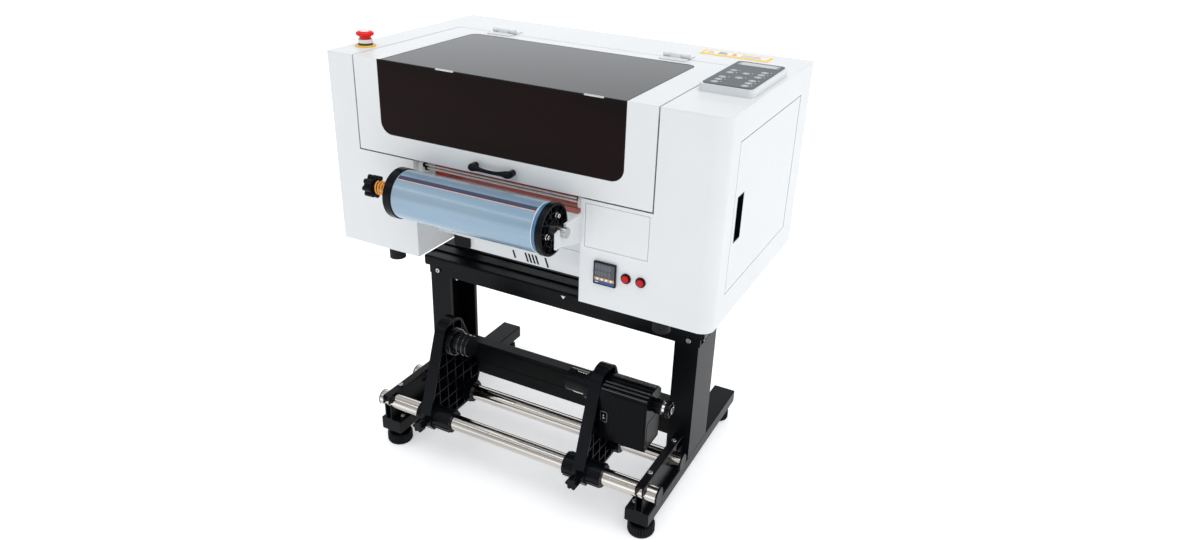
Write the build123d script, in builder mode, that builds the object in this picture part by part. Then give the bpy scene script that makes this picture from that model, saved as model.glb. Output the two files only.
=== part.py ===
from build123d import *
import math
import os

# Roll-to-roll UV film printer on a beam stand with a motorised take-up unit.
# Millimetres, +Z up, origin on the floor under the centre of the overall box.
# The operator stands on the -Y side and +X is to the right.

# --- cabinet -----------------------------------------------------------------------------
BODY_HALF_WIDTH = 450.0
BODY_FRONT = -206.0
BODY_REAR = 328.0
BODY_BOTTOM = 535.0
BODY_TOP = 963.0
SHEET = 2.5
CORNER_RADIUS = 28.0
RECESS_LEFT = -237.0
RECESS_RIGHT = 166.0
RECESS_BACK = -132.0
RECESS_LEDGE = 572.0
SKIRT_FRONT = -70.0
SKIRT_BOTTOM = 513.0
SHIELD_BOTTOM = 690.0

# --- lid ---------------------------------------------------------------------------------
LID_LEFT = -378.0
LID_RIGHT = 316.0
LID_BOTTOM = 762.0
LID_REAR = 171.0
LID_GAP = 3.0
LID_SHEET = 2.0
WINDOW_LEFT = -316.0
WINDOW_TOP_LEFT = -308.0
WINDOW_RIGHT = 254.0
WINDOW_BOTTOM = 806.0
WINDOW_REAR = 131.0
WINDOW_FRONT_RADIUS = 27.0
WINDOW_TOP_RADIUS = 20.0
HINGE_Y = 172.2
HINGE_Z = 969.0
HINGE_CENTRES = (-250.0, 190.0)
HINGE_PIN_RADIUS = 2.5
RUNNING_CLEARANCE = 0.06

# --- side door ---------------------------------------------------------------------------
DOOR_Y = (-135.0, 251.0)
DOOR_Z = (597.0, 902.0)
DOOR_PIVOT = (444.0, 246.0)
DOOR_PIN_RADIUS = 2.5
PULL_Y = (-120.0, -82.0)
PULL_Z = (697.0, 792.0)

# --- printing parts ----------------------------------------------------------------------
BED_TOP = 702.0
FEED_Y = -112.0
FEED_Z = 690.0
FEED_RADIUS = 10.0
PINCH_RADIUS = 8.0
PINCH_GAP = 0.4
BEAM_TOP = 860.0
PULLEY_X = 380.0
PULLEY_Z = 880.0
PULLEY_RADIUS = 12.0
CARRIAGE_X = 300.0

# --- controls ----------------------------------------------------------------------------
CONTROLLER_CENTRE = (224.8, 612.2)
CONTROLLER_SIZE = 48.0
CONTROLLER_BODY = 45.0
BUTTON_Z = 612.7
BUTTON_X = {"heater_button": 269.8, "fan_button": 301.6}
BUTTON_RADIUS = 7.5
BEZEL_SHANK_RADIUS = 9.4
ESTOP_AT = (-415.0, -123.0)
ESTOP_STEM_RADIUS = 8.0
ESTOP_PLATE_TOP = BODY_TOP + 3.0
ESTOP_NECK_TOP = BODY_TOP + 11.0
ESTOP_COLLAR_TOP = BODY_TOP + 15.0
ESTOP_HEAD_Z = (BODY_TOP + 22.0, BODY_TOP + 32.0)

# --- supply roll -------------------------------------------------------------------------
ROLL_Y = -275.0
ROLL_Z = 713.5
ROLL_RADIUS = 51.0
FLANGE_RADIUS = 53.0
SHAFT_RADIUS = 10.5
SHAFT_X = (-303.0, 175.5)
CORE_RADIUS = 38.0

# --- stand -------------------------------------------------------------------------------
COLUMN_INNER = 307.0
COLUMN_OUTER = 364.0
COLUMN_Y = (-7.0, 109.0)
FOOT_BEAM_Y = (-228.0, 322.0)
FOOT_BEAM_Z = (42.0, 76.0)
TOP_BEAM_BOTTOM = 381.0
TOP_BEAM_TOP = 430.0

# --- take-up unit ------------------------------------------------------------------------
TUBE_Z = 121.4
TUBE_FRONT_Y = -211.0
TUBE_REAR_Y = -79.0
TUBE_RADIUS = 19.0
TUBE_X = (-367.0, 375.0)
HOLDER_LEFT_X = -233.0
HOLDER_RIGHT_X = 181.0
HOLDER_WIDTH = 28.0
COLLAR_RADIUS = 26.5
HUB_Y = -141.0
HUB_Z = 296.0
HUB_SHAFT_RADIUS = 6.0
MOTOR_X = (209.0, 322.0)
MOTOR_Y = (-179.0, -105.0)
MOTOR_Z = (194.0, 319.0)
SWITCH_CENTRE = (222.0, 253.5)

os.makedirs("parts", exist_ok=True)


def slab(x_range, y_range, z_range, mode=Mode.ADD):
    """A box between two corners, in the part that is being built."""
    spans = (x_range, y_range, z_range)
    centre = tuple((low + high) / 2 for low, high in spans)
    with Locations(centre):
        Box(*(high - low for low, high in spans), mode=mode)


def rod_x(x_range, y, z, radius, mode=Mode.ADD):
    """A cylinder along X."""
    with Locations(Location(((x_range[0] + x_range[1]) / 2, y, z), (0, 90, 0))):
        Cylinder(radius, x_range[1] - x_range[0], mode=mode)


def rod_y(x, y_range, z, radius, mode=Mode.ADD):
    """A cylinder along Y."""
    with Locations(Location((x, (y_range[0] + y_range[1]) / 2, z), (90, 0, 0))):
        Cylinder(radius, y_range[1] - y_range[0], mode=mode)


def rod_z(x, y, z_range, radius, mode=Mode.ADD):
    """A cylinder along Z."""
    with Locations((x, y, (z_range[0] + z_range[1]) / 2)):
        Cylinder(radius, z_range[1] - z_range[0], mode=mode)


def edges_at(part, axis, **place):
    """The edges of a part along one axis whose middle is at the given coordinates."""
    found = part.edges().filter_by(axis)
    for letter, value in place.items():
        found = found.filter_by(lambda e, a=letter, v=value: abs(getattr(e.center(), a) - v) < 0.1)
    return found


def save(part, label):
    """Name a finished piece and write it."""
    part.label = label
    export_step(part, f"parts/{label}.step")


# --- cabinet covers ----------------------------------------------------------------------
DECK_BOTTOM = BODY_TOP - SHEET
FRONT_INSIDE = BODY_FRONT + SHEET
SIDE_INSIDE = BODY_HALF_WIDTH - SHEET
LID_HOLE_LEFT = LID_LEFT - LID_GAP
LID_HOLE_RIGHT = LID_RIGHT + LID_GAP
LID_HOLE_REAR = LID_REAR + SHEET
LOWER_FRONT_TOP = LID_BOTTOM - LID_GAP
RECESS_WALL_LEFT = RECESS_LEFT - SHEET
RECESS_WALL_RIGHT = RECESS_RIGHT + SHEET

with BuildPart() as left_cover:
    slab((-BODY_HALF_WIDTH, -SIDE_INSIDE), (BODY_FRONT, BODY_REAR), (BODY_BOTTOM, DECK_BOTTOM))
    slab((-SIDE_INSIDE, LID_HOLE_LEFT), (BODY_FRONT, FRONT_INSIDE), (BODY_BOTTOM, DECK_BOTTOM))
    slab((LID_HOLE_LEFT, RECESS_WALL_LEFT), (BODY_FRONT, FRONT_INSIDE), (BODY_BOTTOM, LOWER_FRONT_TOP))
    fillet(edges_at(left_cover, Axis.Z, X=-BODY_HALF_WIDTH, Y=BODY_FRONT), 3.0)
save(left_cover.part, "left_cover")

ACCESS_X = (176.0, 313.0)
ACCESS_Z = (660.0, 752.0)
ARC_CENTRE_X = BODY_HALF_WIDTH - CORNER_RADIUS
ARC_CENTRE_Y = BODY_FRONT + CORNER_RADIUS
DOOR_FRAME_GAP = 2.0
DOOR_FRAME_REAR = DOOR_Y[1] + 4.5

with BuildPart() as right_cover:
    with BuildSketch(Plane.XY.offset(BODY_BOTTOM)):
        with BuildLine():
            Line((RECESS_WALL_RIGHT, BODY_FRONT), (ARC_CENTRE_X, BODY_FRONT))
            CenterArc((ARC_CENTRE_X, ARC_CENTRE_Y), CORNER_RADIUS, -90, 90)
            Line((BODY_HALF_WIDTH, ARC_CENTRE_Y), (BODY_HALF_WIDTH, BODY_REAR))
            Line((BODY_HALF_WIDTH, BODY_REAR), (SIDE_INSIDE, BODY_REAR))
            Line((SIDE_INSIDE, BODY_REAR), (SIDE_INSIDE, ARC_CENTRE_Y))
            CenterArc((ARC_CENTRE_X, ARC_CENTRE_Y), CORNER_RADIUS - SHEET, -90, 90)
            Line((ARC_CENTRE_X, FRONT_INSIDE), (RECESS_WALL_RIGHT, FRONT_INSIDE))
            Line((RECESS_WALL_RIGHT, FRONT_INSIDE), (RECESS_WALL_RIGHT, BODY_FRONT))
        make_face()
    extrude(amount=DECK_BOTTOM - BODY_BOTTOM)
    through_front = (BODY_FRONT - 1, FRONT_INSIDE + 1)
    slab((RECESS_LEFT, LID_HOLE_RIGHT), through_front, (LOWER_FRONT_TOP, BODY_TOP), Mode.SUBTRACT)
    slab(
        (SIDE_INSIDE - 1, BODY_HALF_WIDTH + 1),
        (DOOR_Y[0] - DOOR_FRAME_GAP, DOOR_FRAME_REAR),
        (DOOR_Z[0] - DOOR_FRAME_GAP, DOOR_Z[1] + DOOR_FRAME_GAP),
        Mode.SUBTRACT,
    )
    slab(ACCESS_X, through_front, ACCESS_Z, Mode.SUBTRACT)
    with Locations((CONTROLLER_CENTRE[0], BODY_FRONT, CONTROLLER_CENTRE[1])):
        Box(CONTROLLER_BODY + 0.5, 4 * SHEET, CONTROLLER_BODY + 0.5, mode=Mode.SUBTRACT)
    for x in BUTTON_X.values():
        rod_y(x, through_front, BUTTON_Z, BEZEL_SHANK_RADIUS + 0.1, Mode.SUBTRACT)
    # two ears inside the skin hold the door's pivot pins
    for ear in ((DOOR_Z[0] - 9, DOOR_Z[0] - 6), (DOOR_Z[1] + 6, DOOR_Z[1] + 9)):
        slab((DOOR_PIVOT[0] - 10, SIDE_INSIDE), (DOOR_PIVOT[1] - 10, DOOR_PIVOT[1] + 10), ear)
        rod_z(*DOOR_PIVOT, ear, DOOR_PIN_RADIUS + RUNNING_CLEARANCE, Mode.SUBTRACT)
save(right_cover.part, "right_cover")

with BuildPart() as front_access_panel:
    edge_gap = 0.8
    slab(
        (ACCESS_X[0] + edge_gap, ACCESS_X[1] - edge_gap),
        (BODY_FRONT, FRONT_INSIDE),
        (ACCESS_Z[0] + edge_gap, ACCESS_Z[1] - edge_gap),
    )
    # wider plate behind the cover's edge
    slab(
        (RECESS_WALL_RIGHT, ACCESS_X[1] + 5),
        (FRONT_INSIDE, FRONT_INSIDE + 2),
        (ACCESS_Z[0] - 6, ACCESS_Z[1] + 6),
    )
save(front_access_panel.part, "front_access_panel")

KEYPAD_X = (335.0, 435.0)
KEYPAD_Y = (-57.0, 160.0)
PLINTH_HEIGHT = 15.0
PLINTH_MARGIN = 5.0
LIP_BOTTOM = 940.0

with BuildPart() as top_deck:
    slab((-BODY_HALF_WIDTH, BODY_HALF_WIDTH), (BODY_FRONT, BODY_REAR), (DECK_BOTTOM, BODY_TOP))
    fillet(edges_at(top_deck, Axis.Z, X=BODY_HALF_WIDTH, Y=BODY_FRONT), CORNER_RADIUS)
    fillet(edges_at(top_deck, Axis.Z, X=-BODY_HALF_WIDTH, Y=BODY_FRONT), 3.0)
    # folded lip round the lid opening
    slab(
        (LID_HOLE_LEFT - SHEET, LID_HOLE_RIGHT + SHEET),
        (FRONT_INSIDE, LID_HOLE_REAR + SHEET),
        (LIP_BOTTOM, DECK_BOTTOM),
    )
    slab(
        (LID_HOLE_LEFT, LID_HOLE_RIGHT),
        (BODY_FRONT - 1, LID_HOLE_REAR),
        (LIP_BOTTOM - 10, BODY_TOP + 1),
        Mode.SUBTRACT,
    )
    # raised plinth for the keypad
    slab(
        (KEYPAD_X[0] - PLINTH_MARGIN, KEYPAD_X[1] + PLINTH_MARGIN),
        (KEYPAD_Y[0] - PLINTH_MARGIN, KEYPAD_Y[1] + PLINTH_MARGIN),
        (BODY_TOP, BODY_TOP + PLINTH_HEIGHT),
    )
    plinth_corners = edges_at(top_deck, Axis.Z, Z=BODY_TOP + PLINTH_HEIGHT / 2)
    fillet(plinth_corners, 12.0)
save(top_deck.part, "top_deck")

with BuildPart() as keypad_membrane:
    slab(KEYPAD_X, KEYPAD_Y, (BODY_TOP + PLINTH_HEIGHT, BODY_TOP + PLINTH_HEIGHT + 1.5))
    fillet(keypad_membrane.edges().filter_by(Axis.Z), 10.0)
save(keypad_membrane.part, "keypad_membrane")

LOUVRE_CENTRES = (-250.0, 250.0)
LOUVRE_HALF = 60.0
LOUVRE_BOTTOM = 640.0
LOUVRE_PITCH = 14.0
LOUVRE_HEIGHT = 5.0
INLET_X = (340.0, 388.0)
INLET_Z = (560.0, 590.0)

with BuildPart() as rear_panel:
    slab((-SIDE_INSIDE, SIDE_INSIDE), (BODY_REAR - SHEET, BODY_REAR), (BODY_BOTTOM, DECK_BOTTOM))
    for centre in LOUVRE_CENTRES:
        for row in range(9):
            bottom = LOUVRE_BOTTOM + LOUVRE_PITCH * row
            slab(
                (centre - LOUVRE_HALF, centre + LOUVRE_HALF),
                (BODY_REAR - 2 * SHEET, BODY_REAR + 1),
                (bottom, bottom + LOUVRE_HEIGHT),
                Mode.SUBTRACT,
            )
    # opening for the power inlet
    slab(INLET_X, (BODY_REAR - 2 * SHEET, BODY_REAR + 1), INLET_Z, Mode.SUBTRACT)
save(rear_panel.part, "rear_panel")

CHASSIS_TOP = BODY_BOTTOM + 3.0

with BuildPart() as base_chassis:
    slab((-SIDE_INSIDE, SIDE_INSIDE), (FRONT_INSIDE, BODY_REAR - SHEET), (BODY_BOTTOM, CHASSIS_TOP))
    fillet(edges_at(base_chassis, Axis.Z, X=SIDE_INSIDE, Y=FRONT_INSIDE), CORNER_RADIUS - SHEET)
    slab(
        (RECESS_WALL_LEFT, RECESS_WALL_RIGHT),
        (BODY_FRONT, SKIRT_FRONT + SHEET),
        (BODY_BOTTOM - 5, CHASSIS_TOP + 5),
        Mode.SUBTRACT,
    )
save(base_chassis.part, "base_chassis")

PINCH_Z = FEED_Z + FEED_RADIUS + PINCH_RADIUS + PINCH_GAP
FEED_JOURNAL = 6.0
PINCH_JOURNAL = 4.0
VENT_X = (-74.0, -41.0, -32.0, -23.0, -14.0, 11.0)
VENT_Z = 528.0
VENT_LEAN = -20.0
VENT_SLOT = (3.5, 4 * SHEET, 19.0)

with BuildPart() as recess_liner:
    inside = (RECESS_LEFT, RECESS_RIGHT)
    skirt_back = SKIRT_FRONT + SHEET
    for wall in ((RECESS_WALL_LEFT, RECESS_LEFT), (RECESS_RIGHT, RECESS_WALL_RIGHT)):
        slab(wall, (BODY_FRONT, skirt_back), (BODY_BOTTOM, LOWER_FRONT_TOP))
    slab(inside, (RECESS_BACK, RECESS_BACK + SHEET), (RECESS_LEDGE, SHIELD_BOTTOM))
    slab(inside, (RECESS_BACK, skirt_back), (RECESS_LEDGE, RECESS_LEDGE + SHEET))
    slab((RECESS_WALL_LEFT, RECESS_WALL_RIGHT), (SKIRT_FRONT, skirt_back), (SKIRT_BOTTOM, RECESS_LEDGE))
    # leaning vent slots in the skirt
    for x in VENT_X:
        with Locations(Location((x, SKIRT_FRONT, VENT_Z), (0, VENT_LEAN, 0))):
            Box(*VENT_SLOT, mode=Mode.SUBTRACT)
    # journals of the feed roller and of the pinch rollers turn in the two walls
    span = (RECESS_WALL_LEFT - 1, RECESS_WALL_RIGHT + 1)
    rod_x(span, FEED_Y, FEED_Z, FEED_JOURNAL + RUNNING_CLEARANCE, Mode.SUBTRACT)
    rod_x(span, FEED_Y, PINCH_Z, PINCH_JOURNAL + RUNNING_CLEARANCE, Mode.SUBTRACT)
save(recess_liner.part, "recess_liner")

with BuildPart() as amber_shield:
    slab((RECESS_LEFT, RECESS_RIGHT), (RECESS_BACK, RECESS_BACK + SHEET), (SHIELD_BOTTOM, LOWER_FRONT_TOP))
save(amber_shield.part, "amber_shield")

# --- lid ---------------------------------------------------------------------------------
LID_FRONT_INSIDE = BODY_FRONT + LID_SHEET
LID_TOP_INSIDE = BODY_TOP - LID_SHEET
LID_FLANGE = 18.0

with BuildPart() as lid_shell:
    slab((LID_LEFT, LID_RIGHT), (BODY_FRONT, LID_FRONT_INSIDE), (LID_BOTTOM, BODY_TOP))
    slab((LID_LEFT, LID_RIGHT), (BODY_FRONT, LID_REAR), (LID_TOP_INSIDE, BODY_TOP))
    for side in ((LID_LEFT, LID_LEFT + LID_SHEET), (LID_RIGHT - LID_SHEET, LID_RIGHT)):
        slab(side, (BODY_FRONT, LID_REAR), (BODY_TOP - LID_FLANGE, BODY_TOP))
        slab(side, (BODY_FRONT, BODY_FRONT + LID_FLANGE), (LID_BOTTOM, BODY_TOP))
    slab((LID_LEFT, LID_RIGHT), (BODY_FRONT, BODY_FRONT + LID_FLANGE), (LID_BOTTOM, LID_BOTTOM + LID_SHEET))
    slab(
        (WINDOW_LEFT, WINDOW_RIGHT),
        (BODY_FRONT - 1, LID_FRONT_INSIDE),
        (WINDOW_BOTTOM, BODY_TOP + 1),
        Mode.SUBTRACT,
    )
    slab(
        (WINDOW_TOP_LEFT, WINDOW_RIGHT),
        (BODY_FRONT - 1, WINDOW_REAR),
        (LID_TOP_INSIDE - 1, BODY_TOP + 1),
        Mode.SUBTRACT,
    )
    for x in (WINDOW_LEFT, WINDOW_RIGHT):
        fillet(edges_at(lid_shell, Axis.Y, X=x, Z=WINDOW_BOTTOM), WINDOW_FRONT_RADIUS)
    for x in (WINDOW_TOP_LEFT, WINDOW_RIGHT):
        fillet(edges_at(lid_shell, Axis.Z, X=x, Y=WINDOW_REAR), WINDOW_TOP_RADIUS)
save(lid_shell.part, "lid_shell")

PANE = 3.0
PANE_LAP = 12.0
PANE_EDGE = 0.3

with BuildPart() as lid_window:
    # flush part inside the opening of the sheet
    slab(
        (WINDOW_LEFT + PANE_EDGE, WINDOW_RIGHT - PANE_EDGE),
        (BODY_FRONT, LID_FRONT_INSIDE),
        (WINDOW_BOTTOM + PANE_EDGE, LID_TOP_INSIDE),
    )
    slab(
        (WINDOW_TOP_LEFT + PANE_EDGE, WINDOW_RIGHT - PANE_EDGE),
        (BODY_FRONT, WINDOW_REAR - PANE_EDGE),
        (LID_TOP_INSIDE, BODY_TOP),
    )
    for x in (WINDOW_LEFT + PANE_EDGE, WINDOW_RIGHT - PANE_EDGE):
        fillet(edges_at(lid_window, Axis.Y, X=x, Z=WINDOW_BOTTOM + PANE_EDGE), WINDOW_FRONT_RADIUS)
    for x in (WINDOW_TOP_LEFT + PANE_EDGE, WINDOW_RIGHT - PANE_EDGE):
        fillet(edges_at(lid_window, Axis.Z, X=x, Y=WINDOW_REAR - PANE_EDGE), WINDOW_TOP_RADIUS)
    # wider part that laps behind the sheet
    slab(
        (WINDOW_LEFT - PANE_LAP, WINDOW_RIGHT + PANE_LAP),
        (LID_FRONT_INSIDE, LID_FRONT_INSIDE + PANE),
        (WINDOW_BOTTOM - PANE_LAP, LID_TOP_INSIDE),
    )
    slab(
        (WINDOW_TOP_LEFT - PANE_LAP, WINDOW_RIGHT + PANE_LAP),
        (LID_FRONT_INSIDE, WINDOW_REAR + PANE_LAP),
        (LID_TOP_INSIDE - PANE, LID_TOP_INSIDE),
    )
save(lid_window.part, "lid_window")

HANDLE_X = (-76.0, 12.0)
HANDLE_Z = 781.0
HANDLE_REACH = 22.0
HANDLE_BAR = 9.0
HANDLE_FOOT = 12.0
HANDLE_BOW = 3.0

with BuildPart() as lid_handle:
    # seen from above: two feet joined by a slightly bowed bar
    with BuildSketch(Plane.XY.offset(HANDLE_Z - HANDLE_BAR / 2)):
        with BuildLine():
            outer_left = (HANDLE_X[0] - HANDLE_FOOT / 2, BODY_FRONT - HANDLE_REACH)
            outer_right = (HANDLE_X[1] + HANDLE_FOOT / 2, BODY_FRONT - HANDLE_REACH)
            bar_middle = (HANDLE_X[0] + HANDLE_X[1]) / 2
            inner_y = BODY_FRONT - HANDLE_REACH + HANDLE_BAR
            inner_left = (HANDLE_X[0] + HANDLE_FOOT / 2, inner_y)
            inner_right = (HANDLE_X[1] - HANDLE_FOOT / 2, inner_y)
            ThreePointArc(outer_left, (bar_middle, outer_left[1] - HANDLE_BOW), outer_right)
            Polyline(outer_right, (outer_right[0], BODY_FRONT), (inner_right[0], BODY_FRONT), inner_right)
            ThreePointArc(inner_right, (bar_middle, inner_y - HANDLE_BOW), inner_left)
            Polyline(inner_left, (inner_left[0], BODY_FRONT), (outer_left[0], BODY_FRONT), outer_left)
        make_face()
    extrude(amount=HANDLE_BAR)
    for corner in (outer_left, outer_right):
        fillet(edges_at(lid_handle, Axis.Z, X=corner[0], Y=corner[1]), 5.0)
save(lid_handle.part, "lid_handle")

KNUCKLE_RADIUS = 5.0
KNUCKLE_HALF = 12.0
LEAF_HALF = 30.0
LEAF = 2.5

with BuildPart() as lid_hinge_bases:
    for centre in HINGE_CENTRES:
        slab((centre - LEAF_HALF, centre + LEAF_HALF), (179, 205), (BODY_TOP, BODY_TOP + LEAF))
        for side in (-1, 1):
            ends = sorted((centre + side * LEAF_HALF, centre + side * (KNUCKLE_HALF + 0.5)))
            slab(ends, (HINGE_Y, 180), (BODY_TOP + 1, HINGE_Z))
            slab(ends, (179, 181), (BODY_TOP, HINGE_Z))
            rod_x(ends, HINGE_Y, HINGE_Z, KNUCKLE_RADIUS)
        rod_x((centre - LEAF_HALF, centre + LEAF_HALF), HINGE_Y, HINGE_Z, HINGE_PIN_RADIUS)
save(lid_hinge_bases.part, "lid_hinge_bases")

with BuildPart() as lid_hinge_knuckles:
    for centre in HINGE_CENTRES:
        knuckle = (centre - KNUCKLE_HALF, centre + KNUCKLE_HALF)
        slab((centre - LEAF_HALF, centre + LEAF_HALF), (144, 166), (BODY_TOP, BODY_TOP + LEAF))
        slab(knuckle, (164, HINGE_Y), (BODY_TOP, HINGE_Z))
        rod_x(knuckle, HINGE_Y, HINGE_Z, KNUCKLE_RADIUS)
        rod_x(knuckle, HINGE_Y, HINGE_Z, HINGE_PIN_RADIUS + RUNNING_CLEARANCE, Mode.SUBTRACT)
save(lid_hinge_knuckles.part, "lid_hinge_knuckles")

# --- side door ---------------------------------------------------------------------------
DOOR_FLANGE = 12.0

with BuildPart() as side_door:
    slab((SIDE_INSIDE - DOOR_FLANGE, BODY_HALF_WIDTH), DOOR_Y, DOOR_Z)
    slab(
        (SIDE_INSIDE - DOOR_FLANGE - 1, SIDE_INSIDE),
        (DOOR_Y[0] + SHEET, DOOR_Y[1] - SHEET),
        (DOOR_Z[0] + SHEET, DOOR_Z[1] - SHEET),
        Mode.SUBTRACT,
    )
    slab((SIDE_INSIDE - 1, BODY_HALF_WIDTH + 1), PULL_Y, PULL_Z, Mode.SUBTRACT)
    rod_z(*DOOR_PIVOT, (DOOR_Z[1], DOOR_Z[1] + 11), DOOR_PIN_RADIUS)
    rod_z(*DOOR_PIVOT, (DOOR_Z[0] - 11, DOOR_Z[0]), DOOR_PIN_RADIUS)
save(side_door.part, "side_door")

PULL_DEPTH = 13.0
PULL_WALL = 2.0

with BuildPart() as door_pull:
    slab((BODY_HALF_WIDTH - PULL_DEPTH, BODY_HALF_WIDTH), PULL_Y, PULL_Z)
    slab(
        (BODY_HALF_WIDTH - PULL_DEPTH + PULL_WALL, BODY_HALF_WIDTH + 1),
        (PULL_Y[0] + PULL_WALL, PULL_Y[1] - PULL_WALL),
        (PULL_Z[0] + PULL_WALL, PULL_Z[1] - PULL_WALL),
        Mode.SUBTRACT,
    )
save(door_pull.part, "door_pull")

# --- printing parts ----------------------------------------------------------------------
BED_X = (-228.0, 157.0)
BED_Y = (-98.0, 60.0)
BED_THICKNESS = 12.0
BED_LEG_Y = (-55.0, 40.0)

with BuildPart() as platen:
    slab(BED_X, BED_Y, (BED_TOP - BED_THICKNESS, BED_TOP))
    for leg in ((BED_X[0] + 3, BED_X[0] + 15), (BED_X[1] - 15, BED_X[1] - 3)):
        slab(leg, BED_LEG_Y, (CHASSIS_TOP, BED_TOP - BED_THICKNESS))
save(platen.part, "platen")

with BuildPart() as feed_roller:
    rod_x((RECESS_LEFT + 2, RECESS_RIGHT - 2), FEED_Y, FEED_Z, FEED_RADIUS)
    rod_x((RECESS_WALL_LEFT - 4, RECESS_WALL_RIGHT + 4), FEED_Y, FEED_Z, FEED_JOURNAL)
save(feed_roller.part, "feed_roller")

with BuildPart() as pinch_rollers:
    rod_x((RECESS_WALL_LEFT - 4, RECESS_WALL_RIGHT + 4), FEED_Y, PINCH_Z, PINCH_JOURNAL)
    for x in (-200.0, -118.0, -36.0, 46.0, 128.0):
        rod_x((x - 14, x + 14), FEED_Y, PINCH_Z, PINCH_RADIUS)
save(pinch_rollers.part, "pinch_rollers")

GANTRY_HALF = 430.0
GANTRY_Y = (60.0, 100.0)
GANTRY_HEIGHT = 60.0
POST_WIDTH = 26.0
BRACKET_FRONT = 64.0
BRACKET_REAR = 96.0
BRACKET_SHEET = 4.0
BRACKET_HALF = 12.0
PULLEY_PIN_RADIUS = 3.0

with BuildPart() as gantry_beam:
    slab((-GANTRY_HALF, GANTRY_HALF), GANTRY_Y, (BEAM_TOP - GANTRY_HEIGHT, BEAM_TOP))
    for side in (-1, 1):
        post = sorted((side * GANTRY_HALF, side * (GANTRY_HALF - POST_WIDTH)))
        slab(post, GANTRY_Y, (CHASSIS_TOP, BEAM_TOP - GANTRY_HEIGHT))
        ear = sorted((side * (PULLEY_X - BRACKET_HALF), side * (PULLEY_X + BRACKET_HALF)))
        ear_z = (BEAM_TOP, PULLEY_Z + 10)
        slab(ear, (BRACKET_FRONT, BRACKET_FRONT + BRACKET_SHEET), ear_z)
        slab(ear, (BRACKET_REAR - BRACKET_SHEET, BRACKET_REAR), ear_z)
        rod_y(side * PULLEY_X, (BRACKET_FRONT, BRACKET_REAR), PULLEY_Z, PULLEY_PIN_RADIUS)
save(gantry_beam.part, "gantry_beam")

RAIL_HALF = 395.0
RAIL_Y = (52.0, 60.0)
RAIL_Z = (824.0, 836.0)

with BuildPart() as linear_rail:
    slab((-RAIL_HALF, RAIL_HALF), RAIL_Y, RAIL_Z)
save(linear_rail.part, "linear_rail")

BELT_Y = (74.0, 86.0)
BELT = 1.5

with BuildPart() as carriage_belt:
    belt_inner = PULLEY_RADIUS + 0.4
    with BuildSketch(Plane.XZ.offset(-BELT_Y[1])):
        with Locations((0, PULLEY_Z)):
            SlotCenterToCenter(2 * PULLEY_X, 2 * (belt_inner + BELT))
            SlotCenterToCenter(2 * PULLEY_X, 2 * belt_inner, mode=Mode.SUBTRACT)
    extrude(amount=BELT_Y[1] - BELT_Y[0])
save(carriage_belt.part, "carriage_belt")

PULLEY_Y = (73.0, 87.0)
for label, x in (("drive_pulley", -PULLEY_X), ("idler_pulley", PULLEY_X)):
    with BuildPart() as pulley:
        rod_y(x, PULLEY_Y, PULLEY_Z, PULLEY_RADIUS)
        rod_y(x, (PULLEY_Y[0] - 3, PULLEY_Y[0]), PULLEY_Z, PULLEY_RADIUS - 3)
        rod_y(x, (PULLEY_Y[1], PULLEY_Y[1] + 3), PULLEY_Z, PULLEY_RADIUS - 3)
        pin_bore = PULLEY_PIN_RADIUS + RUNNING_CLEARANCE
        rod_y(x, (PULLEY_Y[0] - 4, PULLEY_Y[1] + 4), PULLEY_Z, pin_bore, Mode.SUBTRACT)
    save(pulley.part, label)

CARRIAGE_SIDES = (CARRIAGE_X - 50, CARRIAGE_X + 50)
CARRIAGE_Z = (722.0, 850.0)

CARRIAGE_Y = (-64.0, 51.8)
CARRIAGE_WALL = 4.0
BELT_ARM_Z = (870.0, 874.0)

with BuildPart() as print_carriage:
    slab(CARRIAGE_SIDES, CARRIAGE_Y, CARRIAGE_Z)
    slab(
        (CARRIAGE_SIDES[0] + CARRIAGE_WALL, CARRIAGE_SIDES[1] - CARRIAGE_WALL),
        (CARRIAGE_Y[0] + CARRIAGE_WALL, 36),
        (CARRIAGE_Z[0] + CARRIAGE_WALL, CARRIAGE_Z[1] + 1),
        Mode.SUBTRACT,
    )
    # arm that takes the lower run of the belt
    arm_x = (CARRIAGE_X - 15, CARRIAGE_X + 15)
    slab(arm_x, (40, CARRIAGE_Y[1]), (CARRIAGE_Z[1], BELT_ARM_Z[1]))
    slab(arm_x, (CARRIAGE_Y[1], 88), BELT_ARM_Z)
save(print_carriage.part, "print_carriage")

HEAD_CENTRES = (CARRIAGE_X - 20, CARRIAGE_X + 20)
HEAD_HALF = 14.0
HEAD_Y = (-45.0, 15.0)
HEAD_BOTTOM = 706.0

with BuildPart() as print_heads:
    for x in HEAD_CENTRES:
        slab((x - HEAD_HALF, x + HEAD_HALF), HEAD_Y, (HEAD_BOTTOM, CARRIAGE_Z[0]))
save(print_heads.part, "print_heads")

LAMP_Y = (-50.0, 20.0)
LAMP_Z = (712.0, 800.0)
FIN_PITCH = 8.0

with BuildPart() as uv_lamp:
    lamp_left = CARRIAGE_SIDES[0] - 34
    slab((lamp_left, CARRIAGE_SIDES[0]), LAMP_Y, LAMP_Z)
    # cooling fins on the left end
    for step in range(8):
        fin_z = LAMP_Z[0] + 18 + FIN_PITCH * step
        groove = (fin_z, fin_z + FIN_PITCH / 2)
        slab((lamp_left - 1, lamp_left + 10), (LAMP_Y[0] - 1, LAMP_Y[1] + 1), groove, Mode.SUBTRACT)
save(uv_lamp.part, "uv_lamp")

CAP_TABLE_TOP = 690.0
CAP_LIP = 3.0

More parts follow.
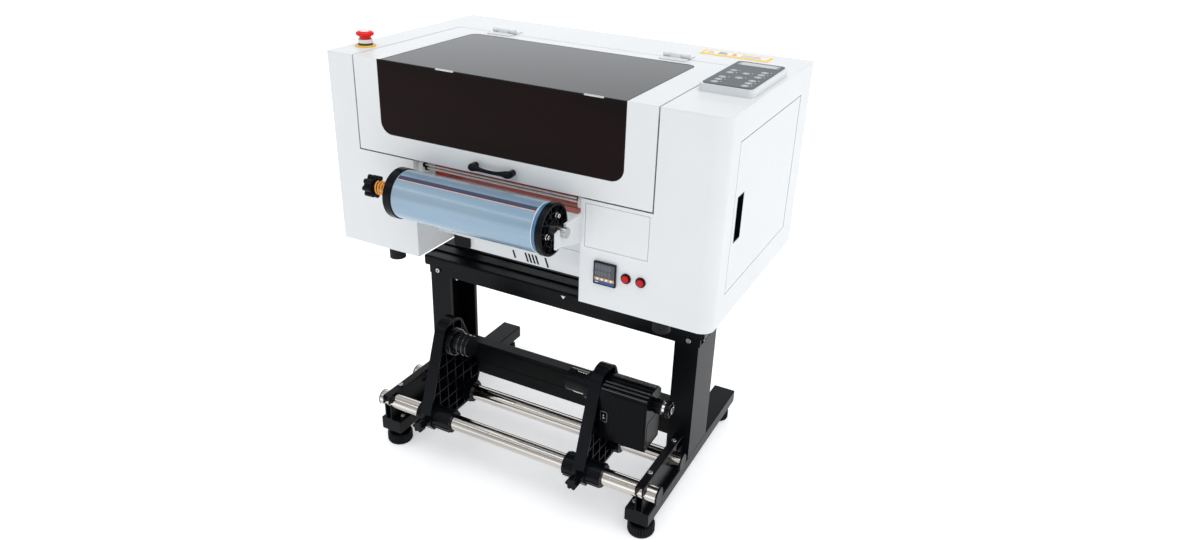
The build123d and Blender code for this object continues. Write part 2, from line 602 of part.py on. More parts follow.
with BuildPart() as capping_station:
    slab((CARRIAGE_X - 48, CARRIAGE_X + 48), (-60, 30), (CHASSIS_TOP, CAP_TABLE_TOP))
    for x in HEAD_CENTRES:
        slab(
            (x - HEAD_HALF - CAP_LIP, x + HEAD_HALF + CAP_LIP),
            (HEAD_Y[0] - CAP_LIP, HEAD_Y[1] + CAP_LIP),
            (CAP_TABLE_TOP, CAP_TABLE_TOP + 10),
        )
        slab(
            (x - HEAD_HALF, x + HEAD_HALF),
            HEAD_Y,
            (CAP_TABLE_TOP + CAP_LIP, CAP_TABLE_TOP + 11),
            Mode.SUBTRACT,
        )
save(capping_station.part, "capping_station")

TANK_LEFT = -420.0
TANK_PITCH = 42.0
TANK_WIDTH = 36.0
TANK_Y = (180.0, 300.0)
TANK_TOP = 660.0

with BuildPart() as ink_tanks:
    for number in range(6):
        left = TANK_LEFT + TANK_PITCH * number
        slab((left, left + TANK_WIDTH), TANK_Y, (CHASSIS_TOP, TANK_TOP))
        rod_z(left + TANK_WIDTH / 2, sum(TANK_Y) / 2, (TANK_TOP, TANK_TOP + 12), 11.0)
save(ink_tanks.part, "ink_tanks")

# --- controls ----------------------------------------------------------------------------
with BuildPart() as temperature_controller:
    with Locations((CONTROLLER_CENTRE[0], BODY_FRONT - 2.5, CONTROLLER_CENTRE[1])):
        Box(CONTROLLER_SIZE, 5, CONTROLLER_SIZE)
    with Locations((CONTROLLER_CENTRE[0], BODY_FRONT + 35, CONTROLLER_CENTRE[1])):
        Box(CONTROLLER_BODY, 70, CONTROLLER_BODY)
save(temperature_controller.part, "temperature_controller")

with BuildPart() as button_bezels:
    for x in BUTTON_X.values():
        rod_y(x, (BODY_FRONT - 3, BODY_FRONT), BUTTON_Z, 10.5)
        rod_y(x, (BODY_FRONT, BODY_FRONT + 18), BUTTON_Z, BEZEL_SHANK_RADIUS)
        bore = BUTTON_RADIUS + RUNNING_CLEARANCE
        rod_y(x, (BODY_FRONT - 4, BODY_FRONT + 19), BUTTON_Z, bore, Mode.SUBTRACT)
save(button_bezels.part, "button_bezels")

for label, x in BUTTON_X.items():
    with BuildPart() as button:
        rod_y(x, (BODY_FRONT - 7, BODY_FRONT + 8), BUTTON_Z, BUTTON_RADIUS)
        fillet(button.edges().group_by(Axis.Y)[0], 1.2)
    save(button.part, label)

with BuildPart() as estop_base:
    rod_z(*ESTOP_AT, (BODY_TOP, ESTOP_PLATE_TOP), 22.5)
    rod_z(*ESTOP_AT, (ESTOP_PLATE_TOP, ESTOP_NECK_TOP), 17.0)
    rod_z(*ESTOP_AT, (ESTOP_NECK_TOP, ESTOP_COLLAR_TOP), 14.0)
    stem_bore = ESTOP_STEM_RADIUS + RUNNING_CLEARANCE
    rod_z(*ESTOP_AT, (BODY_TOP - 1, ESTOP_COLLAR_TOP + 1), stem_bore, Mode.SUBTRACT)
save(estop_base.part, "estop_base")

with BuildPart() as estop_button:
    rod_z(*ESTOP_AT, (ESTOP_PLATE_TOP + 4, ESTOP_HEAD_Z[0]), ESTOP_STEM_RADIUS)
    rod_z(*ESTOP_AT, ESTOP_HEAD_Z, 19.5)
    fillet(estop_button.edges().group_by(Axis.Z)[-1], 5.0)
save(estop_button.part, "estop_button")

FOOT_X = 334.0
with BuildPart() as body_feet:
    for x in (-FOOT_X, FOOT_X):
        for y in (-162.0, 285.0):
            rod_z(x, y, (495, BODY_BOTTOM), 18.5)
save(body_feet.part, "body_feet")

# --- supply roll and its arms ------------------------------------------------------------
ARM = 5.0
HOOK_RADIUS = SHAFT_RADIUS + 0.3
ARM_FRONT = -300.0
ARM_REAR = -145.0
ARM_TOP = ROLL_Z + 12.5
ARM_BOTTOM = ROLL_Z - 50.5
ARM_TIP_BOTTOM = ROLL_Z - 28.5

with BuildPart() as roll_arms:
    with BuildSketch(Plane.YZ.offset(RECESS_LEFT), Plane.YZ.offset(RECESS_RIGHT - ARM)):
        with BuildLine():
            Polyline(
                (ROLL_Y + HOOK_RADIUS, ROLL_Z),
                (ROLL_Y + HOOK_RADIUS, ARM_TOP),
                (ARM_REAR, ARM_TOP),
                (ARM_REAR, ARM_BOTTOM),
                (BODY_FRONT, ARM_BOTTOM),
                (ARM_FRONT + 16, ARM_TIP_BOTTOM),
                (ARM_FRONT, ARM_TIP_BOTTOM),
                (ARM_FRONT, ROLL_Z + 4),
                (ROLL_Y - HOOK_RADIUS, ROLL_Z + 7),
                (ROLL_Y - HOOK_RADIUS, ROLL_Z),
            )
            CenterArc((ROLL_Y, ROLL_Z), HOOK_RADIUS, 180, 180)
        make_face()
    extrude(amount=ARM)
save(roll_arms.part, "roll_arms")

with BuildPart() as supply_shaft:
    rod_x(SHAFT_X, ROLL_Y, ROLL_Z, SHAFT_RADIUS)
save(supply_shaft.part, "supply_shaft")

LEFT_FLANGE = (-223.0, -203.0)
RIGHT_FLANGE = (133.0, 146.5)
PLUG_DEPTH = 23.0

with BuildPart() as supply_flanges:
    left_plug = (LEFT_FLANGE[1], LEFT_FLANGE[1] + PLUG_DEPTH)
    right_plug = (RIGHT_FLANGE[0] - PLUG_DEPTH, RIGHT_FLANGE[0])
    for flange, plug in ((LEFT_FLANGE, left_plug), (RIGHT_FLANGE, right_plug)):
        rod_x(flange, ROLL_Y, ROLL_Z, FLANGE_RADIUS)
        rod_x(plug, ROLL_Y, ROLL_Z, CORE_RADIUS)
        rod_x((flange[0] - 30, flange[1] + 30), ROLL_Y, ROLL_Z, SHAFT_RADIUS, Mode.SUBTRACT)
save(supply_flanges.part, "supply_flanges")

FILM_END = RIGHT_FLANGE[0] - 9.0

with BuildPart() as film_roll:
    rod_x((LEFT_FLANGE[1], FILM_END), ROLL_Y, ROLL_Z, ROLL_RADIUS)
    rod_x((FILM_END, RIGHT_FLANGE[0]), ROLL_Y, ROLL_Z, ROLL_RADIUS - 1.5)
    rod_x((LEFT_FLANGE[1] - 1, RIGHT_FLANGE[0] + 1), ROLL_Y, ROLL_Z, CORE_RADIUS, Mode.SUBTRACT)
save(film_roll.part, "film_roll")

SPRING_X = (-275.0, -241.0)
SPRING_WIRE = 1.8
SPRING_RADIUS = 13.5

with BuildPart() as brake_spring:
    coil = Helix(
        pitch=7.0,
        height=SPRING_X[1] - SPRING_X[0],
        radius=SPRING_RADIUS,
        center=(SPRING_X[0], ROLL_Y, ROLL_Z),
        direction=(1, 0, 0),
    )
    with BuildSketch(Plane(origin=coil @ 0, z_dir=coil % 0)):
        Circle(SPRING_WIRE)
    sweep(path=coil, is_frenet=True)
save(brake_spring.part, "brake_spring")

BRAKE_KNOB_X = (-299.0, -279.0)
BRAKE_KNOB_RADIUS = 19.0

with BuildPart() as brake_knob:
    rod_x(BRAKE_KNOB_X, ROLL_Y, ROLL_Z, BRAKE_KNOB_RADIUS)
    for turn in range(8):
        angle = math.radians(45 * turn)
        lobe_y = ROLL_Y + BRAKE_KNOB_RADIUS * math.cos(angle)
        lobe_z = ROLL_Z + BRAKE_KNOB_RADIUS * math.sin(angle)
        rod_x(BRAKE_KNOB_X, lobe_y, lobe_z, 5.5)
    rod_x((BRAKE_KNOB_X[1], BRAKE_KNOB_X[1] + 2), ROLL_Y, ROLL_Z, 17.0)
    bore_span = (BRAKE_KNOB_X[0] - 10, BRAKE_KNOB_X[1] + 10)
    rod_x(bore_span, ROLL_Y, ROLL_Z, SHAFT_RADIUS + RUNNING_CLEARANCE, Mode.SUBTRACT)
save(brake_knob.part, "brake_knob")

# --- stand -------------------------------------------------------------------------------
SIDES = (-1, 1)


def mirrored(side, low, high):
    """An X range given for the right side, turned to the wanted side."""
    return tuple(sorted((side * low, side * high)))


with BuildPart() as foot_beams:
    for side in SIDES:
        slab(mirrored(side, COLUMN_INNER, COLUMN_OUTER), FOOT_BEAM_Y, FOOT_BEAM_Z)
    fillet(foot_beams.edges().filter_by(Axis.Y), 3.0)
save(foot_beams.part, "foot_beams")

PAD_X = 336.0
PAD_HEIGHT = 30.0
PAD_PLACES = ((-200.0, 31.0), (296.0, 24.0))

with BuildPart() as levelling_feet:
    for side in SIDES:
        for y, radius in PAD_PLACES:
            rod_z(side * PAD_X, y, (0, PAD_HEIGHT), radius)
            rod_z(side * PAD_X, y, (PAD_HEIGHT, FOOT_BEAM_Z[0]), 8.0)
save(levelling_feet.part, "levelling_feet")

CHANNEL_WALL = 6.0
with BuildPart() as columns:
    for side in SIDES:
        slab(mirrored(side, COLUMN_INNER, COLUMN_OUTER), COLUMN_Y, (FOOT_BEAM_Z[1], TOP_BEAM_BOTTOM))
    for side in SIDES:
        slab(
            mirrored(side, COLUMN_INNER - 1, COLUMN_OUTER - CHANNEL_WALL),
            (COLUMN_Y[0] + 10, COLUMN_Y[1] - 10),
            (FOOT_BEAM_Z[1] + CHANNEL_WALL, TOP_BEAM_BOTTOM - CHANNEL_WALL),
            Mode.SUBTRACT,
        )
save(columns.part, "columns")

TOP_BEAM_STEP = 405.0
LOWER_HALF = 367.0
UPPER_HALF = 375.0
UPPER_Y = (-14.0, 134.0)
THROUGH = (-UPPER_HALF - 5, UPPER_HALF + 5)

with BuildPart() as top_beam:
    slab((-LOWER_HALF, LOWER_HALF), (COLUMN_Y[0], 129), (TOP_BEAM_BOTTOM, TOP_BEAM_STEP))
    slab((-UPPER_HALF, UPPER_HALF), UPPER_Y, (TOP_BEAM_STEP, TOP_BEAM_TOP))
    fillet(edges_at(top_beam, Axis.X, Y=UPPER_Y[0], Z=TOP_BEAM_TOP), 5.0)
    # three hollow chambers, and two shallow channels along the top
    for chamber in ((-2, 38), (43, 83), (88, 124)):
        slab(THROUGH, chamber, (TOP_BEAM_BOTTOM + 4, TOP_BEAM_TOP - 9), Mode.SUBTRACT)
    for channel in ((8, 30), (58, 70)):
        slab(THROUGH, channel, (TOP_BEAM_TOP - 4, TOP_BEAM_TOP + 1), Mode.SUBTRACT)
save(top_beam.part, "top_beam")

CROSS_Y = (36.0, 66.0)
CROSS_Z = (95.0, 185.0)
CROSS_WALL = 4.0

with BuildPart() as cross_beam:
    slab((-COLUMN_OUTER + CHANNEL_WALL, COLUMN_OUTER - CHANNEL_WALL), CROSS_Y, CROSS_Z)
    slab(
        THROUGH,
        (CROSS_Y[0] + CROSS_WALL, CROSS_Y[1] - CROSS_WALL),
        (CROSS_Z[0] + CROSS_WALL, CROSS_Z[1] - CROSS_WALL),
        Mode.SUBTRACT,
    )
save(cross_beam.part, "cross_beam")

with BuildPart() as risers:
    for side in SIDES:
        span = mirrored(side, COLUMN_INNER, COLUMN_OUTER)
        slab(span, (100, UPPER_Y[1]), (TOP_BEAM_TOP, BODY_BOTTOM))
        slab(span, (50, 190), (BODY_BOTTOM - 8, BODY_BOTTOM))
save(risers.part, "risers")

# --- take-up unit ------------------------------------------------------------------------
TUBE_YS = (TUBE_FRONT_Y, TUBE_REAR_Y)
SADDLE_X = (331.0, 350.0)
SADDLE_Y = (-232.0, -12.0)
CHEEKS = ((331.0, 334.0), (347.0, 350.0))
WEB_Y = (-184.0, -106.0)
BAR_TOP = TUBE_Z + TUBE_RADIUS + 5.0

with BuildPart() as takeup_tubes:
    for y in TUBE_YS:
        rod_x(TUBE_X, y, TUBE_Z, TUBE_RADIUS)
        rod_x(TUBE_X, y, TUBE_Z, TUBE_RADIUS - 2.5, Mode.SUBTRACT)
save(takeup_tubes.part, "takeup_tubes")

with BuildPart() as tube_saddles:
    for side in SIDES:
        slab(mirrored(side, *SADDLE_X), SADDLE_Y, (FOOT_BEAM_Z[1], FOOT_BEAM_Z[1] + 3))
        for cheek in CHEEKS:
            slab(mirrored(side, *cheek), SADDLE_Y, (FOOT_BEAM_Z[1], TUBE_Z - 3))
            slab(mirrored(side, *cheek), WEB_Y, (TUBE_Z - 4, TUBE_Z + TUBE_RADIUS - 0.5))
    for y in TUBE_YS:
        rod_x(THROUGH, y, TUBE_Z, TUBE_RADIUS, Mode.SUBTRACT)
save(tube_saddles.part, "tube_saddles")

with BuildPart() as clamp_bars:
    for side in SIDES:
        slab(mirrored(side, *SADDLE_X), SADDLE_Y, (TUBE_Z + TUBE_RADIUS, BAR_TOP))
        for cheek in CHEEKS:
            for y in TUBE_YS:
                slab(mirrored(side, *cheek), (y - 26, y + 26), (TUBE_Z + 3, BAR_TOP))
    for y in TUBE_YS:
        rod_x(THROUGH, y, TUBE_Z, TUBE_RADIUS, Mode.SUBTRACT)
save(clamp_bars.part, "clamp_bars")

BOLT_HEAD = 6.5
BOLT_HEIGHT = 5.0
with BuildPart() as stand_bolts:
    for side in SIDES:
        for y in (-180.0, -49.0):
            rod_z(side * 340.5, y, (BAR_TOP, BAR_TOP + BOLT_HEIGHT), BOLT_HEAD)
        rod_y(side * 340, (COLUMN_Y[0] - BOLT_HEIGHT, COLUMN_Y[0]), 393, BOLT_HEAD)
        rod_z(side * 320, -206, (FOOT_BEAM_Z[1], FOOT_BEAM_Z[1] + BOLT_HEIGHT), BOLT_HEAD)
save(stand_bolts.part, "stand_bolts")

HOLDER_WALL = 5.0
RIB = 2.5
RIB_PITCH = 32.0

HOLDER_EDGE = (
    (-172, 327),
    (-240, 138),
    (-240, 108),
    (-228, 91),
    (-62, 91),
    (-50, 108),
    (-30, 155),
    (-36, 192),
    (-92, 322),
)
HOLDER_POCKET = (
    (-169, 321),
    (-234, 139),
    (-234, 113),
    (-225, 98),
    (-65, 98),
    (-56, 112),
    (-36, 156),
    (-42, 190),
    (-97, 319),
)


def holder_outline(points, crown):
    """Side view of a holder: a closed outline with an arc over the hub mount."""
    Polyline(*points)
    ThreePointArc(points[-1], crown, points[0])


def build_holder(left, collar_span):
    """One holder with its ribbed tray, its tube collars and the boss of its clamp knob."""
    right = left + HOLDER_WIDTH
    with BuildPart() as holder:
        with BuildSketch(Plane.YZ.offset(left)):
            with BuildLine():
                holder_outline(HOLDER_EDGE, (-134, 351))
            make_face()
        extrude(amount=HOLDER_WIDTH)
        with BuildSketch(Plane.YZ.offset(left + HOLDER_WALL)):
            with BuildLine():
                holder_outline(HOLDER_POCKET, (-134, 346))
            make_face()
            for step in range(8):
                with Locations((-230 + RIB_PITCH * step, 220)):
                    Rectangle(RIB, 300, mode=Mode.SUBTRACT)
                with Locations((-140, 118 + RIB_PITCH * step)):
                    Rectangle(260, RIB, mode=Mode.SUBTRACT)
            for y in TUBE_YS:
                with Locations((y, TUBE_Z)):
                    Circle(COLLAR_RADIUS + 2, mode=Mode.SUBTRACT)
            with Locations((HUB_Y, HUB_Z)):
                Circle(30, mode=Mode.SUBTRACT)
        extrude(amount=HOLDER_WIDTH, mode=Mode.SUBTRACT)
        rod_x(collar_span, TUBE_FRONT_Y, TUBE_Z, COLLAR_RADIUS)
        rod_x((left - 15, right + 18), TUBE_REAR_Y, TUBE_Z, COLLAR_RADIUS)
        rod_y(left + HOLDER_WIDTH / 2, (-252, TUBE_FRONT_Y), TUBE_Z, 9.0)
        for y in TUBE_YS:
            rod_x((left - 60, right + 60), y, TUBE_Z, TUBE_RADIUS + 0.08, Mode.SUBTRACT)
        rod_x((left - 1, right + 1), HUB_Y, HUB_Z, HUB_SHAFT_RADIUS + RUNNING_CLEARANCE, Mode.SUBTRACT)
    return holder.part


save(build_holder(HOLDER_LEFT_X, (-250, -157)), "holder_left")
save(build_holder(HOLDER_RIGHT_X, (150, 245)), "holder_right")

KNOB_Y = (-272.0, -254.0)
KNOB_RADIUS = 11.0
for label, left in (("clamp_knob_left", HOLDER_LEFT_X), ("clamp_knob_right", HOLDER_RIGHT_X)):
    middle = left + HOLDER_WIDTH / 2
    with BuildPart() as knob:
        rod_y(middle, KNOB_Y, TUBE_Z, KNOB_RADIUS)
        for turn in range(6):
            angle = math.radians(60 * turn)
            lobe_x = middle + KNOB_RADIUS * math.cos(angle)
            rod_y(lobe_x, KNOB_Y, TUBE_Z + KNOB_RADIUS * math.sin(angle), 4.0)
        rod_y(middle, (KNOB_Y[1], -252.3), TUBE_Z, 7.0)
    save(knob.part, label)

HOLDER_FACE_GAP = 1.0
HUB_FLANGE = 14.0
HUB_FLANGE_RADIUS = 32.0
HUB_PLUG_RADIUS = 25.0

with BuildPart() as idle_hub:
    face = HOLDER_LEFT_X + HOLDER_WIDTH + HOLDER_FACE_GAP
    rod_x((HOLDER_LEFT_X + 1, face), HUB_Y, HUB_Z, HUB_SHAFT_RADIUS)
    rod_x((face, face + HUB_FLANGE), HUB_Y, HUB_Z, HUB_FLANGE_RADIUS)
    rod_x((face + HUB_FLANGE, face + 54), HUB_Y, HUB_Z, HUB_PLUG_RADIUS)
save(idle_hub.part, "idle_hub")

with BuildPart() as drive_hub:
    face = HOLDER_RIGHT_X - HOLDER_FACE_GAP
    rod_x((face - HUB_FLANGE, face), HUB_Y, HUB_Z, HUB_FLANGE_RADIUS)
    rod_x((face - 64, face - HUB_FLANGE), HUB_Y, HUB_Z, HUB_PLUG_RADIUS)
    rod_x((face, MOTOR_X[1] + 44), HUB_Y, HUB_Z, HUB_SHAFT_RADIUS)
    rod_x((MOTOR_X[1] + 1, MOTOR_X[1] + 21), HUB_Y, HUB_Z, 15.0)
    rod_x((MOTOR_X[1] + 29, MOTOR_X[1] + 40), HUB_Y, HUB_Z, 14.0)
save(drive_hub.part, "drive_hub")

SWITCH_PIN_Y = MOTOR_Y[0] + 2.0
SWITCH_PIN_RADIUS = 1.2
SWITCH_PIN_HALF = 8.5

with BuildPart() as motor_housing:
    with BuildSketch(Plane.YZ.offset(MOTOR_X[0])):
        with BuildLine():
            Polyline(
                (MOTOR_Y[0], MOTOR_Z[1]),
                (MOTOR_Y[0], MOTOR_Z[0]),
                (MOTOR_Y[1], MOTOR_Z[0]),
                (MOTOR_Y[1], MOTOR_Z[1]),
            )
            ThreePointArc(
                (MOTOR_Y[1], MOTOR_Z[1]),
                ((MOTOR_Y[0] + MOTOR_Y[1]) / 2, MOTOR_Z[1] + 12),
                (MOTOR_Y[0], MOTOR_Z[1]),
            )
        make_face()
    extrude(amount=MOTOR_X[1] - MOTOR_X[0])
    span = (MOTOR_X[0] - 1, MOTOR_X[1] + 1)
    rod_x(span, HUB_Y, HUB_Z, HUB_SHAFT_RADIUS + RUNNING_CLEARANCE, Mode.SUBTRACT)
    with Locations((SWITCH_CENTRE[0], MOTOR_Y[0], SWITCH_CENTRE[1])):
        Box(13, 16, 21, mode=Mode.SUBTRACT)
    # the rocker's pivot pin turns in the two side walls of its pocket
    pin_hole = (SWITCH_CENTRE[0] - SWITCH_PIN_HALF - 0.5, SWITCH_CENTRE[0] + SWITCH_PIN_HALF + 0.5)
    rod_x(pin_hole, SWITCH_PIN_Y, SWITCH_CENTRE[1], SWITCH_PIN_RADIUS + RUNNING_CLEARANCE, Mode.SUBTRACT)
save(motor_housing.part, "motor_housing")

with BuildPart() as motor_switch:
    with BuildSketch(Plane.YZ.offset(SWITCH_CENTRE[0] - 6)):
        with BuildLine():
            Polyline(
                (MOTOR_Y[0] - 3, SWITCH_CENTRE[1] + 8),
                (MOTOR_Y[0] - 1, SWITCH_CENTRE[1]),
                (MOTOR_Y[0] - 3, SWITCH_CENTRE[1] - 8),
                (MOTOR_Y[0] + 4, SWITCH_CENTRE[1] - 6),
                (MOTOR_Y[0] + 4, SWITCH_CENTRE[1] + 6),
                (MOTOR_Y[0] - 3, SWITCH_CENTRE[1] + 8),
            )
        make_face()
    extrude(amount=12)
    pin = (SWITCH_CENTRE[0] - SWITCH_PIN_HALF, SWITCH_CENTRE[0] + SWITCH_PIN_HALF)
    rod_x(pin, SWITCH_PIN_Y, SWITCH_CENTRE[1], SWITCH_PIN_RADIUS)
save(motor_switch.part, "motor_switch")
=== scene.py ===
import math

import bmesh
import bpy
from mathutils import Matrix, Vector


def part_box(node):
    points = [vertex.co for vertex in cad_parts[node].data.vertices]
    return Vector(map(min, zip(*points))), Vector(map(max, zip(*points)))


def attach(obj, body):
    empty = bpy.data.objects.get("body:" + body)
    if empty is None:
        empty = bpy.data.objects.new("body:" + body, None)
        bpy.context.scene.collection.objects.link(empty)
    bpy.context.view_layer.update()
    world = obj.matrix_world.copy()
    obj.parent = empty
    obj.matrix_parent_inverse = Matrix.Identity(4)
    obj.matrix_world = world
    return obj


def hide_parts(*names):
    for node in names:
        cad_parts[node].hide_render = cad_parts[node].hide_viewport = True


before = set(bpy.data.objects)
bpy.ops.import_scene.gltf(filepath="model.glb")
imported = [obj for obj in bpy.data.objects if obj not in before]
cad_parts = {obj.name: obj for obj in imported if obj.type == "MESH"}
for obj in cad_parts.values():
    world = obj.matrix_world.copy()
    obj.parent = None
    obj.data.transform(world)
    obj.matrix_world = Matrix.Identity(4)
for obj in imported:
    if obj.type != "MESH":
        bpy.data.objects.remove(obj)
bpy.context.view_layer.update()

# Lengths in this script are millimetres until a piece is finished, and metres in Blender.
MM = 0.001
AXES = {"x": 0, "y": 1, "z": 2}


def others(axis):
    """The two coordinates across an axis."""
    return [n for n in range(3) if n != AXES[axis]]


def box_of(node):
    """Lowest and highest corner of a CAD node, in millimetres."""
    low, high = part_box(node)
    return tuple(low / MM), tuple(high / MM)


def middle_of(node, axis):
    """The middle of a CAD node's box, in the two coordinates across an axis."""
    low, high = box_of(node)
    return tuple((low[n] + high[n]) / 2 for n in others(axis))


def new_object(name, data):
    """An object in the scene for a mesh, curve, light or camera."""
    made = bpy.data.objects.new(name, data)
    bpy.context.scene.collection.objects.link(made)
    return made


# --- materials ---------------------------------------------------------------------------
EVEN = (1.0, 1.0, 1.0)
LENGTHWISE = (0.02, 1.0, 1.0)
TURNED = (1.0, 0.03, 0.03)
EDGE_ANGLE = math.radians(40)
SMOOTH_ANGLE = math.radians(32)


def link(tree, start, end):
    """Join an output socket to an input socket."""
    tree.links.new(start, end)


def noise_from(tree, scale, stretch, detail=4.0):
    """A noise pattern fixed to the piece; scale is in waves per metre."""
    place = tree.nodes.new("ShaderNodeTexCoord")
    mapping = tree.nodes.new("ShaderNodeMapping")
    mapping.inputs["Scale"].default_value = stretch
    noise = tree.nodes.new("ShaderNodeTexNoise")
    noise.inputs["Scale"].default_value = scale
    noise.inputs["Detail"].default_value = detail
    link(tree, place.outputs["Object"], mapping.inputs["Vector"])
    link(tree, mapping.outputs["Vector"], noise.inputs["Vector"])
    return noise.outputs["Fac"]


def ranged(tree, value, low, high):
    """A 0..1 pattern turned into a range of values."""
    spread = tree.nodes.new("ShaderNodeMapRange")
    for socket, number in (("From Min", 0.3), ("From Max", 0.7), ("To Min", low), ("To Max", high)):
        spread.inputs[socket].default_value = number
    link(tree, value, spread.inputs["Value"])
    return spread.outputs["Result"]


def blend_colours(tree, factor, first, second):
    """Two colours mixed by a pattern."""
    mix = tree.nodes.new("ShaderNodeMix")
    mix.data_type = "RGBA"
    mix.inputs["A"].default_value = (*first, 1.0)
    mix.inputs["B"].default_value = (*second, 1.0)
    link(tree, factor, mix.inputs["Factor"])
    return mix.outputs["Result"]


def material(
    name, colour, mottle_and_painted_reflection, roughness, metallic=0.0, grain=1200.0, stretch=EVEN, relief=0.02, clouds=9.0,
    cloud_stretch=EVEN, edge=0.0, coat=0.0, specular=0.5, alpha=1.0, glow=0.0,
):
    """A finish: two tones in soft clouds, a roughness range and a fine relief in millimetres."""
    made = bpy.data.materials.new(name)
    made.use_nodes = True
    tree = made.node_tree
    shader = tree.nodes["Principled BSDF"]
    for socket, number in (
        ("Metallic", metallic), ("Coat Weight", coat), ("Coat Roughness", 0.12), ("Alpha", alpha),
        ("Specular IOR Level", specular), ("Emission Strength", glow),
    ):
        shader.inputs[socket].default_value = number
    shader.inputs["Emission Color"].default_value = (*colour, 1.0)
    # The second tone is random mottle on most finishes, and painted reflection streaks on the chrome tubes.
    cloud = ranged(tree, noise_from(tree, clouds, cloud_stretch, detail=6.0), 0.0, 1.0)
    link(tree, blend_colours(tree, cloud, colour, mottle_and_painted_reflection), shader.inputs["Base Color"])
    fine = noise_from(tree, grain, stretch)
    link(tree, ranged(tree, fine, *roughness), shader.inputs["Roughness"])
    bump = tree.nodes.new("ShaderNodeBump")
    bump.inputs["Strength"].default_value = 1.0
    bump.inputs["Distance"].default_value = relief * MM
    link(tree, fine, bump.inputs["Height"])
    if edge:
        rounded = tree.nodes.new("ShaderNodeBevel")
        rounded.samples = 4
        rounded.inputs["Radius"].default_value = edge * MM
        link(tree, rounded.outputs["Normal"], bump.inputs["Normal"])
    link(tree, bump.outputs["Normal"], shader.inputs["Normal"])
    return made


WHITE = material(
    "white_coat", (0.71, 0.728, 0.74), (0.69, 0.708, 0.722), (0.34, 0.42), relief=0.012, edge=0.8,
)
BLACK = material(
    "black_coat", (0.0028, 0.0033, 0.0042), (0.0048, 0.0054, 0.0066), (0.28, 0.42), grain=1600.0,
    relief=0.02, edge=0.8, specular=0.1,
)
PLASTIC = material(
    "black_nylon", (0.0022, 0.0025, 0.0042), (0.0038, 0.0044, 0.0064), (0.18, 0.32), grain=1100.0,
    relief=0.016, edge=0.7, specular=0.11,
)
HOUSING = material(
    "charcoal_shell", (0.0016, 0.0019, 0.0024), (0.0026, 0.003, 0.0036), (0.14, 0.24), relief=0.005,
    edge=0.3, specular=0.06,
)
GLOSS_BLACK = material(
    "polished_black", (0.003, 0.003, 0.004), (0.006, 0.006, 0.007), (0.1, 0.18), relief=0.003, coat=0.6,
)
RUBBER = material(
    "rubber", (0.006, 0.006, 0.007), (0.011, 0.011, 0.012), (0.5, 0.65), grain=900.0, relief=0.04,
    specular=0.15,
)
STEEL = material(
    "zinc_steel", (0.56, 0.57, 0.58), (0.48, 0.49, 0.5), (0.2, 0.34), metallic=1.0, relief=0.006,
)
SHAFT_STEEL = material(
    "turned_steel", (0.62, 0.61, 0.61), (0.5, 0.5, 0.51), (0.14, 0.26), metallic=1.0, stretch=TURNED,
    relief=0.006,
)
CHROME = material("chrome", (0.82, 0.79, 0.75), (0.7, 0.67, 0.63), (0.05, 0.12), metallic=1.0, relief=0.002)
# Painted reflection: the dark second tone, stretched into streaks along the tube, stands for the dark bands
# that the chrome reflects.
TUBE_CHROME = material(
    "chrome_tube", (0.83, 0.79, 0.74), (0.27, 0.245, 0.225), (0.06, 0.16), metallic=1.0,
    stretch=LENGTHWISE, relief=0.002, clouds=95.0, cloud_stretch=(0.012, 1.0, 1.0),
)
ALUMINIUM = material(
    "anodised_aluminium", (0.68, 0.69, 0.7), (0.6, 0.61, 0.62), (0.28, 0.4), metallic=1.0,
    stretch=LENGTHWISE, relief=0.006,
)
SMOKED = material(
    "smoked_acrylic", (0.0022, 0.0008, 0.0008), (0.009, 0.0018, 0.0016), (0.04, 0.07), grain=40.0,
    relief=0.001, clouds=7.0, cloud_stretch=(0.3, 1.0, 1.6), specular=0.08, alpha=0.98,
)
# Painted light: the glow makes the shield shine as if lit from inside, though it is no lamp.
AMBER = material(
    "red_brown_acrylic", (0.36, 0.036, 0.01), (0.22, 0.02, 0.007), (0.1, 0.18), relief=0.003, coat=0.15,
    glow=0.07,
)
MEMBRANE = material(
    "membrane_grey", (0.085, 0.098, 0.107), (0.1, 0.113, 0.122), (0.42, 0.5), relief=0.006, specular=0.2,
)
KEY_PRINT = material("key_print", (0.5, 0.53, 0.55), (0.44, 0.47, 0.49), (0.4, 0.5), relief=0.004)
DISPLAY = material(
    "lcd_window", (0.4, 0.43, 0.43), (0.34, 0.37, 0.37), (0.2, 0.3), relief=0.002, specular=0.3,
)
RED = material(
    "red_plastic", (0.5, 0.003, 0.009), (0.42, 0.002, 0.007), (0.14, 0.24), relief=0.004, specular=0.25,
)
RED_BRIGHT = material(
    "red_mushroom", (0.8, 0.01, 0.008), (0.7, 0.007, 0.006), (0.16, 0.26), relief=0.004, specular=0.3,
)
YELLOW = material("yellow_print", (0.9, 0.56, 0.03), (0.84, 0.51, 0.025), (0.36, 0.46), relief=0.004)
LABEL_WHITE = material("label_white", (0.82, 0.82, 0.8), (0.78, 0.78, 0.76), (0.38, 0.48), relief=0.003)
BLUE_PRINT = material("blue_print", (0.012, 0.07, 0.25), (0.01, 0.055, 0.2), (0.3, 0.4), relief=0.003)
TAN_PRINT = material("tan_print", (0.47, 0.3, 0.13), (0.42, 0.26, 0.11), (0.36, 0.46), relief=0.003)
SCREEN = material(
    "controller_screen", (0.012, 0.016, 0.035), (0.016, 0.02, 0.042), (0.08, 0.14), relief=0.001, coat=0.6,
)
SEGMENT = material("grey_segment", (0.22, 0.225, 0.27), (0.17, 0.175, 0.21), (0.3, 0.4), relief=0.001)
